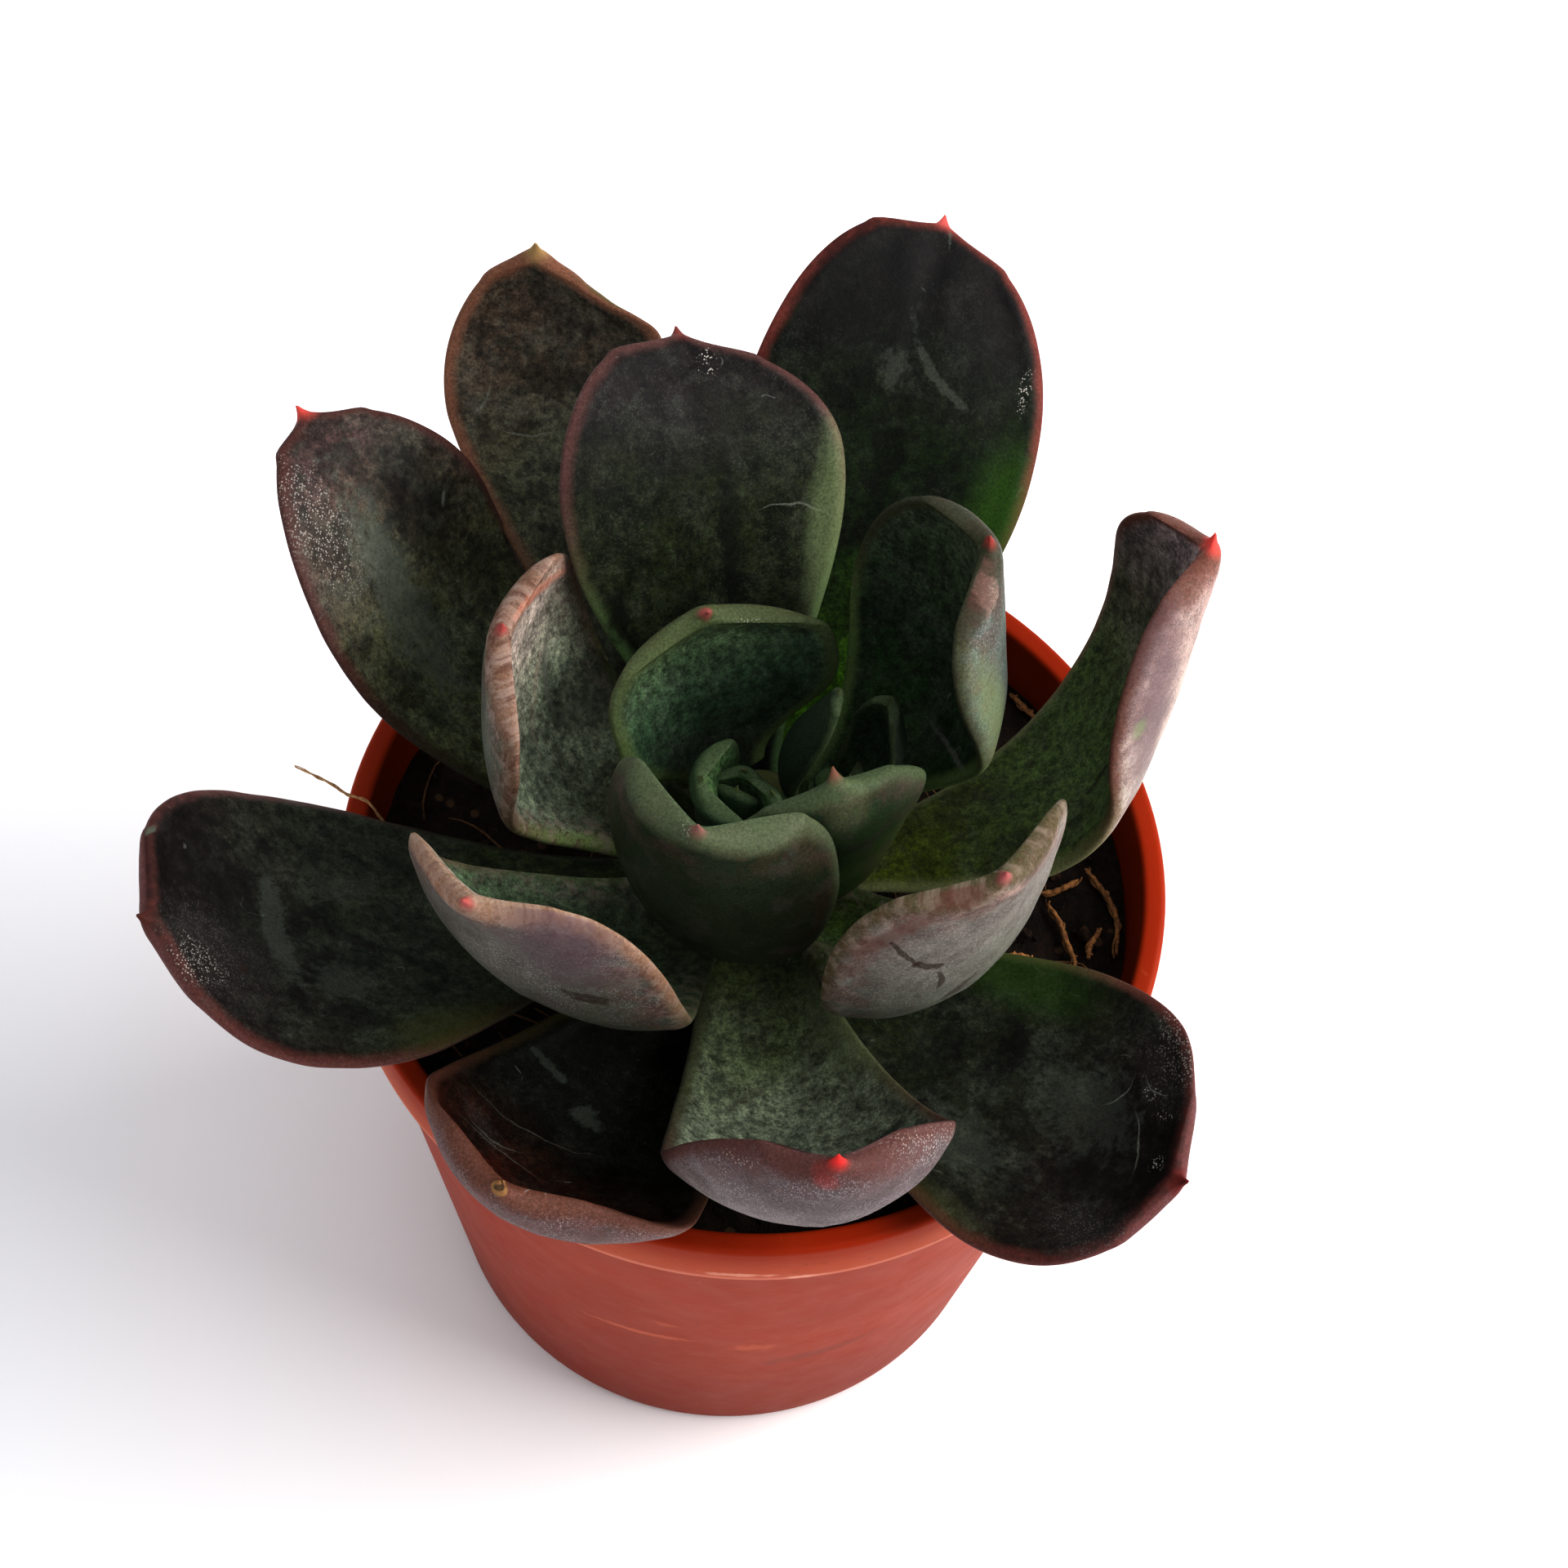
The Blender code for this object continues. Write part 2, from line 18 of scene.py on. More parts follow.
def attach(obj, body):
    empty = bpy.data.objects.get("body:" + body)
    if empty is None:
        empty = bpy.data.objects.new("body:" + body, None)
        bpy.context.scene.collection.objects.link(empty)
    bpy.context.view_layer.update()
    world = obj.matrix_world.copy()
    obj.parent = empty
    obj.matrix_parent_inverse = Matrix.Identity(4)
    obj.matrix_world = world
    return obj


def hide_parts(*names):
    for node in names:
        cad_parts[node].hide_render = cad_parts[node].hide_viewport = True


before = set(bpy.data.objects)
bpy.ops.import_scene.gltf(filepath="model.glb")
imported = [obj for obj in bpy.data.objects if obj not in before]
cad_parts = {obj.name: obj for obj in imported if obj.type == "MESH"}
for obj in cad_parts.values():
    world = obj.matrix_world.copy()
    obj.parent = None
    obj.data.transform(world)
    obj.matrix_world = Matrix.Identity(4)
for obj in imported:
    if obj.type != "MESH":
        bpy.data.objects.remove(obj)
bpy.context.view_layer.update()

MM = 0.001
BODY = "root"
Colour = tuple[int, int, int]
Socket = bpy.types.NodeSocket
log = logging.getLogger("potted_echeveria")


def linear(colour: Colour) -> tuple[float, float, float, float]:
    """Turns a display colour into the linear one that a shader reads.

    Args:
        colour: red, green and blue from 0 to 255, as a display shows them.

    Returns:
        Red, green, blue and an alpha of one, from 0 to 1.
    """
    shares = [channel / 255 for channel in colour]
    lights = [share / 12.92 if share <= 0.04045 else ((share + 0.055) / 1.055) ** 2.4 for share in shares]
    return (*lights, 1.0)


class Finish(Enum):
    """The record's material slots, one given with each piece; nothing in this script reads them."""

    POT = "pot_plastic"
    SOIL = "potting_soil"
    STEM = "corky_stem"
    OUTER = "outer_leaf"
    MIDDLE = "middle_leaf"
    YOUNG = "young_leaf"
    FIBRE = "coir_fibre"


class Side(Enum):
    """A side of a leaf, as the sign of the leaf's face attribute there."""

    UPPER = 1.0
    LOWER = -1.0


# Working on meshes


def deselect_all() -> None:
    """Leaves object mode with nothing selected, so that an operator acts on the new piece alone."""
    if bpy.context.object and bpy.context.object.mode != "OBJECT":
        bpy.ops.object.mode_set(mode="OBJECT")
    bpy.ops.object.select_all(action="DESELECT")


def vertex_places(mesh: bpy.types.Mesh) -> np.ndarray:
    """Reads a mesh's vertices.

    Args:
        mesh: the mesh to read.

    Returns:
        One row of x, y and z for each vertex.
    """
    flat = np.empty(len(mesh.vertices) * 3)
    mesh.vertices.foreach_get("co", flat)
    return flat.reshape(-1, 3)


def move_vertices(mesh: bpy.types.Mesh, places: np.ndarray) -> None:
    """Puts a mesh's vertices at new places.

    Args:
        mesh: the mesh to change.
        places: one row of x, y and z for each vertex.
    """
    mesh.vertices.foreach_set("co", places.ravel())
    mesh.update()


def keep_values(mesh: bpy.types.Mesh, name: str, values: np.ndarray) -> None:
    """Keeps numbers or vectors on a mesh's vertices for its material to read.

    Args:
        mesh: the mesh that carries them.
        name: the attribute's name.
        values: one number, or one row of three, for each vertex.
    """
    if values.ndim == 1:
        mesh.attributes.new(name, "FLOAT", "POINT").data.foreach_set("value", values)
    else:
        mesh.attributes.new(name, "FLOAT_VECTOR", "POINT").data.foreach_set("vector", values.ravel())


def dress(piece: bpy.types.Object, name: str, finish: Finish, material: bpy.types.Material,
          *nodes: str) -> None:
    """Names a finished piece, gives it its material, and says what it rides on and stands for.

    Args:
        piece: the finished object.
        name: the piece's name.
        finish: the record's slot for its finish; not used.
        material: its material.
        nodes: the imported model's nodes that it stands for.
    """
    piece.name = name
    piece.data.name = name
    piece.data.materials.clear()
    piece.data.materials.append(material)
    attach(piece, BODY)
    if nodes:
        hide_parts(*nodes)
    triangles = sum(len(polygon.vertices) - 2 for polygon in piece.data.polygons)
    log.info("%s: %d triangles", name, triangles)


def soft_waves(across: np.ndarray, along: np.ndarray, size: float, seed: float) -> np.ndarray:
    """A smooth uneven surface between about -1 and 1, the same for the same seed.

    Args:
        across: places in one direction, in millimetres.
        along: places in the other direction, in millimetres.
        size: the usual width of a rise, in millimetres.
        seed: a number that tells one surface from another.

    Returns:
        The surface's height at each place.
    """
    total = np.zeros_like(along, dtype=float)
    for step in range(5):
        angle = seed * 1.7 + step * 2.4
        pace = math.tau / size * (0.5 + 0.31 * step)
        phase = seed * 5.3 + step * 1.9
        travel = across * math.cos(angle) + along * math.sin(angle)
        total += np.sin(pace * travel + phase) / (1 + 0.5 * step)
    return total / 2.2


# Shader nodes


class Nodes:
    """Adds nodes to one node tree and links them as they are written."""

    def __init__(self, tree: bpy.types.NodeTree) -> None:
        """Keeps the tree that the nodes go to."""
        self.tree = tree

    def add(self, kind: str, inputs: dict | None = None, **settings: object) -> bpy.types.Node:
        """Adds one node.

        Args:
            kind: the node's type without its leading ShaderNode.
            inputs: what each input reads, by name or number: a socket to link, or a value.
            settings: the node's own settings.

        Returns:
            The new node.
        """
        node = self.tree.nodes.new("ShaderNode" + kind)
        for name, value in settings.items():
            setattr(node, name, value)
        for key, value in (inputs or {}).items():
            self.feed(node.inputs[key], value)
        return node

    def feed(self, socket: Socket, value: object) -> None:
        """Links a socket to another one, or sets its value."""
        if isinstance(value, Socket):
            self.tree.links.new(value, socket)
        else:
            socket.default_value = value

    def math(self, operation: str, first: object, second: object = 0.0, clamp: bool = False) -> Socket:
        """The result of one sum on numbers."""
        return self.add("Math", {0: first, 1: second}, operation=operation, use_clamp=clamp).outputs[0]

    def plus(self, first: object, second: object, clamp: bool = False) -> Socket:
        """Two numbers added."""
        return self.math("ADD", first, second, clamp)

    def minus(self, first: object, second: object) -> Socket:
        """The second number taken from the first."""
        return self.math("SUBTRACT", first, second)

    def times(self, first: object, second: object, clamp: bool = False) -> Socket:
        """Two numbers multiplied."""
        return self.math("MULTIPLY", first, second, clamp)

    def vector(self, operation: str, first: object, second: object = (0.0, 0.0, 0.0)) -> Socket:
        """The vector result of one sum on vectors."""
        return self.add("VectorMath", {0: first, 1: second}, operation=operation).outputs[0]

    def dot(self, first: object, second: object) -> Socket:
        """How far one vector reaches along another."""
        return self.add("VectorMath", {0: first, 1: second}, operation="DOT_PRODUCT").outputs["Value"]

    def smooth(self, value: object, low: object, high: object) -> Socket:
        """A smooth step that is 0 at low and 1 at high, whichever of them is the larger."""
        inputs = {"Value": value, "From Min": low, "From Max": high}
        return self.add("MapRange", inputs, interpolation_type="SMOOTHSTEP").outputs["Result"]

    def spread(self, value: object, low: float, high: float) -> Socket:
        """A value from 0 to 1 laid out evenly from low to high."""
        return self.add("MapRange", {"Value": value, "To Min": low, "To Max": high}).outputs["Result"]

    def mix(self, share: object, first: object, second: object, blend: str = "MIX") -> Socket:
        """A colour between two colours."""
        node = self.add("Mix", {0: share, 6: first, 7: second}, data_type="RGBA", blend_type=blend)
        return node.outputs[2]

    def tint(self, mask: object, share: object, colour: object, other: Colour) -> Socket:
        """A colour with a share of another one laid over it inside a mask."""
        return self.mix(self.times(mask, share), colour, linear(other))

    def vary(self, value: object, low: float, high: float, colour: object) -> Socket:
        """A colour multiplied by a value that is laid out evenly from low to high."""
        return self.mix(1.0, colour, self.spread(value, low, high), "MULTIPLY")

    def noise(self, place: object, scale: object, detail: float = 2.0, rough: object = 0.55) -> Socket:
        """Cloudy noise from 0 to 1."""
        inputs = {"Vector": place, "Scale": scale, "Detail": detail, "Roughness": rough}
        return self.add("TexNoise", inputs).outputs[0]

    def unevenness(self, place: object) -> tuple[Socket, Socket]:
        """Fine noise and slow noise about 0, which make outlines ragged and wavy."""
        fray = self.minus(self.noise(place, 0.7, 3.0, 0.68), 0.5)
        sway = self.minus(self.noise(place, 0.3), 0.5)
        return fray, sway

    def ramp(self, share: object, colours: tuple[Colour, ...], places: tuple[float, ...]) -> Socket:
        """A colour that runs through several colours at their places from 0 to 1."""
        node = self.add("ValToRGB", {0: share})
        node.color_ramp.interpolation = "EASE"
        while len(node.color_ramp.elements) < len(colours):
            node.color_ramp.elements.new(0.5)
        for element, colour, place in zip(node.color_ramp.elements, colours, places):
            element.position = place
            element.color = linear(colour)
        return node.outputs[0]

    def millimetres(self, shift: float = 0.0) -> Socket:
        """The object's own coordinates in millimetres, moved by a shift that tells pieces apart."""
        place = self.add("TexCoord").outputs["Object"]
        scaled = self.vector("SCALE", place)
        scaled.node.inputs["Scale"].default_value = 1 / MM
        return self.vector("ADD", scaled, (shift, shift * 0.7, -shift))


class Effect:
    """A shader node group that is built once and placed in each material with its own values."""

    title = ""
    takes: dict[str, object] = {}
    gives = "Mask"

    @classmethod
    def wire(cls, nodes: Nodes, entry: Socket) -> Socket:
        """Builds the group's nodes and returns the socket that it puts out."""
        raise NotImplementedError

    @classmethod
    def group(cls) -> bpy.types.NodeTree:
        """The group's tree, built the first time it is asked for."""
        tree = bpy.data.node_groups.get(cls.title)
        if tree is not None:
            return tree
        tree = bpy.data.node_groups.new(cls.title, "ShaderNodeTree")
        for name, value in cls.takes.items():
            kind = "NodeSocketVector" if isinstance(value, tuple) else "NodeSocketFloat"
            socket = tree.interface.new_socket(name=name, in_out="INPUT", socket_type=kind)
            socket.default_value = value
        tree.interface.new_socket(name=cls.gives, in_out="OUTPUT", socket_type="NodeSocketFloat")
        entry = tree.nodes.new("NodeGroupInput")
        way_out = tree.nodes.new("NodeGroupOutput")
        tree.links.new(cls.wire(Nodes(tree), entry.outputs), way_out.inputs[cls.gives])
        return tree

    @classmethod
    def place(cls, nodes: Nodes, **values: object) -> Socket:
        """Places the group in a material.

        Args:
            nodes: the material's nodes.
            values: what each of the group's inputs reads, by its name in small letters.

        Returns:
            What the group puts out.
        """
        node = nodes.add("Group", node_tree=cls.group())
        for name, value in values.items():
            nodes.feed(node.inputs[name.replace("_", " ").capitalize()], value)
        return node.outputs[cls.gives]


class WaxBloom(Effect):
    """Cloudy islands of wax, dust or stain."""

    title = "wax_bloom"
    takes = {"Place": (0.0, 0.0, 0.0), "Scale": 0.2, "Cover": 0.5, "Softness": 0.12}

    @classmethod
    def wire(cls, nodes: Nodes, entry: Socket) -> Socket:
        """Noise cut at the level that leaves about the wanted cover."""
        cloud = nodes.noise(entry["Place"], entry["Scale"], 4.0, 0.62)
        middle = nodes.minus(0.75, nodes.times(entry["Cover"], 0.5))
        low = nodes.minus(middle, entry["Softness"])
        return nodes.smooth(cloud, low, nodes.plus(middle, entry["Softness"]))

    @classmethod
    def islands(cls, nodes: Nodes, place: object, scale: float, cover: float, softness: float,
                shift: tuple[float, float, float] | None = None) -> Socket:
        """Places the effect, moved away from its other uses in a material by a shift in millimetres."""
        if shift:
            place = nodes.vector("ADD", place, shift)
        return cls.place(nodes, place=place, scale=scale, cover=cover, softness=softness)


class FineSpeckle(Effect):
    """Small round dots, each in its own cell, where only a share of the cells has one."""

    title = "fine_speckle"
    takes = {"Place": (0.0, 0.0, 0.0), "Size": 0.3, "Share": 0.5}

    @classmethod
    def wire(cls, nodes: Nodes, entry: Socket) -> Socket:
        """Cells of the wanted size with a dot in the middle of some."""
        scale = nodes.math("DIVIDE", 1.0, entry["Size"])
        cells = nodes.add("TexVoronoi", {"Vector": entry["Place"], "Scale": scale})
        dot = nodes.smooth(cells.outputs["Distance"], 0.5, 0.22)
        chance = nodes.add("SeparateColor", {0: cells.outputs["Color"]}).outputs[0]
        chosen = nodes.math("LESS_THAN", chance, entry["Share"])
        return nodes.times(dot, chosen)


class RaggedPatch(Effect):
    """A long or round mark with a ragged outline, at a place measured on the surface."""

    title = "ragged_patch"
    takes = {"Place": (0.0, 0.0, 0.0), "Fray": 0.0, "Sway": 0.0, "Face": 1.0, "Side": 1.0,
             "Centre": (0.0, 0.0, 0.0), "Along": (0.25, 0.0, 0.0), "Aside": (0.0, 0.5, 0.0), "Bow": 0.0,
             "Ragged": 0.3, "Wiggle": 0.0, "Softness": 0.25}

    @classmethod
    def wire(cls, nodes: Nodes, entry: Socket) -> Socket:
        """The distance from the mark's middle line, in its own turned and stretched coordinates."""
        offset = nodes.vector("SUBTRACT", entry["Place"], entry["Centre"])
        far = nodes.dot(offset, entry["Along"])
        square = nodes.times(far, far)
        wide = nodes.minus(nodes.dot(offset, entry["Aside"]), nodes.times(square, entry["Bow"]))
        wide = nodes.minus(wide, nodes.times(entry["Sway"], entry["Wiggle"]))
        reach = nodes.math("SQRT", nodes.plus(square, nodes.times(wide, wide)))
        reach = nodes.plus(reach, nodes.times(entry["Fray"], nodes.times(entry["Ragged"], 3.4)))
        outer = nodes.plus(1.0, entry["Softness"])
        inside = nodes.smooth(reach, outer, nodes.minus(1.0, entry["Softness"]))
        facing = nodes.times(entry["Face"], entry["Side"])
        return nodes.times(inside, nodes.smooth(facing, -0.1, 0.25))

    @staticmethod
    def axes(length: float, width: float, angle: float, bow: float = 0.0,
             wiggle: float = 0.0) -> dict[str, object]:
        """The values that give a mark its size and turn.

        Args:
            length: how far it reaches along its own middle line.
            width: how far it reaches across that.
            angle: its turn, in degrees.
            bow: how far its ends bend aside.
            wiggle: how far slow noise moves it aside.

        Returns:
            The patch's inputs by name, with its turned axes divided by its size.
        """
        cos, sin = math.cos(math.radians(angle)), math.sin(math.radians(angle))
        return {"along": (cos / length, sin / length, 0.0), "aside": (-sin / width, cos / width, 0.0),
                "bow": bow / width, "wiggle": wiggle / width}


class MarginBand(Effect):
    """A band along an edge, by the distance from that edge."""

    title = "margin_band"
    takes = {"Place": (0.0, 0.0, 0.0), "Rim": 0.0, "Width": 1.0, "Ragged": 0.5}

    @classmethod
    def wire(cls, nodes: Nodes, entry: Socket) -> Socket:
        """The edge distance with noise added, faded out over the band's width."""
        fray = nodes.minus(nodes.noise(entry["Place"], 0.45, 3.0, 0.6), 0.5)
        rim = nodes.plus(entry["Rim"], nodes.times(fray, nodes.times(entry["Ragged"], 2.75)))
        return nodes.smooth(rim, entry["Width"], nodes.times(entry["Width"], 0.15))


class HairScratches(Effect):
    """Fine broken lines that run over a surface in slow curves."""

    title = "hair_scratches"
    takes = {"Place": (0.0, 0.0, 0.0), "Scale": 0.12, "Thin": 0.01, "Cover": 0.3}

    @classmethod
    def wire(cls, nodes: Nodes, entry: Socket) -> Socket:
        """Lines where a slow noise is at its middle level, kept only where a second noise is high."""
        slow = nodes.minus(nodes.noise(entry["Place"], entry["Scale"]), 0.5)
        line = nodes.smooth(nodes.math("ABSOLUTE", slow), entry["Thin"], 0.0)
        kept = nodes.noise(nodes.vector("ADD", entry["Place"], (31.0, 17.0, 5.0)), 0.22, 3.0, 0.7)
        edge = nodes.minus(0.85, nodes.times(entry["Cover"], 0.58))
        return nodes.times(line, nodes.smooth(kept, edge, nodes.plus(edge, 0.09)))


class Grain(Effect):
    """A fine skin relief: shallow waves that small granules roughen."""

    title = "skin_grain"
    takes = {"Place": (0.0, 0.0, 0.0), "Size": 0.4, "Pits": 0.3}
    gives = "Height"

    @classmethod
    def wire(cls, nodes: Nodes, entry: Socket) -> Socket:
        """Noise of the grain's size, whose finer waves are the higher the more pitted it is."""
        scale = nodes.math("DIVIDE", 0.5, entry["Size"])
        rough = nodes.plus(0.6, nodes.times(entry["Pits"], 0.5))
        return nodes.noise(entry["Place"], scale, 2.0, rough)


class MaterialNodes(Nodes):
    """The nodes of one material, which end in its Principled shader."""

    def __init__(self, name: str) -> None:
        """Starts a material of this name."""
        self.material = bpy.data.materials.new(name)
        self.material.use_nodes = True
        super().__init__(self.material.node_tree)

    def surface(self, colour: object, roughness: object, height: object = None, depth: float = 0.0,
                gloss: float = 0.5) -> bpy.types.Material:
        """Feeds the shader.

        Args:
            colour: what its colour reads.
            roughness: what its roughness reads.
            height: what its relief reads, from 0 to 1, if it has one.
            depth: how deep a height of one is, in millimetres.
            gloss: its specular level, 0.5 for the usual.

        Returns:
            The finished material.
        """
        shader = self.tree.nodes["Principled BSDF"]
        self.feed(shader.inputs["Base Color"], colour)
        self.feed(shader.inputs["Roughness"], roughness)
        if height is not None:
            bump = self.add("Bump", {"Height": height, "Strength": 1.0, "Distance": depth * MM})
            self.feed(shader.inputs["Normal"], bump.outputs["Normal"])
        shader.inputs["Specular IOR Level"].default_value = gloss
        return self.material


# Marks on the leaves


DOT_SIZE = 0.24
POWDER_SIZE = 0.21


@dataclass(frozen=True)
class MarkPaint:
    """How one kind of mark looks: its colour, strength, outline, share of dots, roughness and height."""

    colour: Colour
    strength: float = 0.85
    ragged: float = 0.35
    dots: float = 0.0
    softness: float = 0.3
    wiggle: float = 0.0
    roughness: float = 0.55
    height: float = 0.0


class Look(Enum):
    """The kinds of mark laid on the leaves; some of them are painted shade, painted shadow, painted glints
    and painted highlights.
    """

    # Mostly painted shade: dark ragged patches where a leaf lies in the shadow of others, inside folds and
    # along grooves; a few are dark smudges.
    SHADE_AND_SMUDGE = MarkPaint((14, 12, 13), 0.65, 0.6, softness=0.45)
    # Dark bruises and scars; one of them is painted shadow, the dark line under leaf_03's curled point.
    BRUISE_AND_SHADOW = MarkPaint((12, 11, 9), 0.7, 0.65, softness=0.35, roughness=0.4)
    # Pale waxy rubs; a few of them are painted highlights, and one a pale band painted where leaf_09 catches
    # the light.
    WAX_AND_HIGHLIGHT = MarkPaint((98, 104, 94), 0.5, 0.8, softness=0.4, roughness=0.7)
    DUST = MarkPaint((120, 114, 110), 0.6, 0.6, dots=0.75, softness=0.6, roughness=0.8)
    # Painted glints: bright white dots for the glitter of wax crystals, with the pale crystals themselves;
    # some streaks of them are painted highlights.
    SPARKLE = MarkPaint((212, 206, 198), 0.8, 0.8, dots=1.0, softness=0.55, roughness=0.4)
    CRUST = MarkPaint((196, 170, 160), 0.7, 0.7, dots=0.45, softness=0.4, roughness=0.85, height=0.12)
    SCRATCH = MarkPaint((122, 124, 114), 0.75, 0.3, softness=0.5, wiggle=1.2, roughness=0.7)
    SCAR = MarkPaint((64, 50, 42), 0.85, 0.6, softness=0.25, roughness=0.75, height=-0.06)
    BLUSH = MarkPaint((176, 62, 58), 0.8, 0.25, softness=0.6)
    SALMON = MarkPaint((205, 122, 92), 0.8, 0.25, softness=0.6)
    GREEN = MarkPaint((58, 92, 26), 0.8, 0.2, softness=0.75)
    LEMON = MarkPaint((84, 86, 44), 0.65, 0.25, softness=0.7)
    PALE = MarkPaint((128, 140, 104), 0.7, 0.2, softness=0.6)
    TAN = MarkPaint((156, 122, 80), 0.9, 0.12, softness=0.2, roughness=0.8, height=0.2)
    RUSSET = MarkPaint((104, 66, 60), 0.6, 0.6, softness=0.6)
    KEEL = MarkPaint((104, 84, 92), 0.7, 0.3, softness=0.7)


@dataclass(frozen=True)
class Mark:
    """One mark on a leaf: its middle, how far it reaches each way, and how it is turned and bowed."""

    look: Look
    along: float
    across: float
    length: float
    width: float
    angle: float = 0.0
    side: Side = Side.UPPER
    bow: float = 0.0
    strength: float = 1.0

    def rise(self, along: np.ndarray, across: np.ndarray, face: np.ndarray) -> np.ndarray:
        """How far the mark lifts or sinks the skin, in millimetres.

        Args:
            along: distances from the leaf's foot.
            across: distances from its midline.
            face: 1 on the upper side, -1 on the lower one.

        Returns:
            The rise at each place.
        """
        turn = math.radians(self.angle)
        far = ((along - self.along) * math.cos(turn) + (across - self.across) * math.sin(turn)) / self.length
        aside = (across - self.across) * math.cos(turn) - (along - self.along) * math.sin(turn)
        reach = np.hypot(far, (aside - self.bow * far**2) / self.width)
        inside = np.clip((1.25 - reach) / 0.5, 0, 1)
        lumpy = 0.65 + 0.35 * soft_waves(across, along, 1.6, self.along)
        facing = np.clip(face * self.side.value * 3, 0, 1)
        return self.look.value.height * lumpy * inside**2 * (3 - 2 * inside) * facing

    def paint(self, nodes: Nodes, skin: "SkinSockets") -> None:
        """Lays the mark over a leaf's colour and roughness."""
        paint = self.look.value
        inside = RaggedPatch.place(
            nodes, place=skin.blade, fray=skin.fray, sway=skin.sway, face=skin.face, side=self.side.value,
            centre=(self.along, self.across, 0.0), ragged=paint.ragged, softness=paint.softness,
            **RaggedPatch.axes(self.length, self.width, self.angle, self.bow, paint.wiggle))
        inside = nodes.times(inside, nodes.spread(skin.grit, 0.55, 1.2), clamp=True)
        if paint.dots:
            dots = FineSpeckle.place(nodes, place=skin.place, size=DOT_SIZE, share=0.62)
            inside = nodes.times(inside, nodes.spread(dots, 1 - paint.dots, 1.0))
        share = nodes.times(inside, paint.strength * self.strength)
        skin.colour = nodes.mix(share, skin.colour, linear(paint.colour))
        rough = nodes.add("Mix", {0: share, 2: skin.roughness, 3: paint.roughness}, data_type="FLOAT")
        skin.roughness = rough.outputs[0]


@dataclass
class SkinSockets:
    """What a leaf's material reads and what it has so far."""

    place: Socket
    blade: Socket
    face: Socket
    fray: Socket
    sway: Socket
    grit: Socket
    colour: Socket
    roughness: object


# Leaves


SPECK_COLOUR = (122, 118, 110)
STAIN_COLOUR = (112, 70, 62)
GAP_COLOUR = (58, 46, 50)
POWDER_COLOUR = (200, 194, 198)
FLAKE_COLOUR = (176, 158, 148)
CRACK_COLOUR = (92, 58, 50)
PALE_SCRATCH_COLOUR = (168, 170, 162)
DARK_SCRATCH_COLOUR = (64, 54, 48)


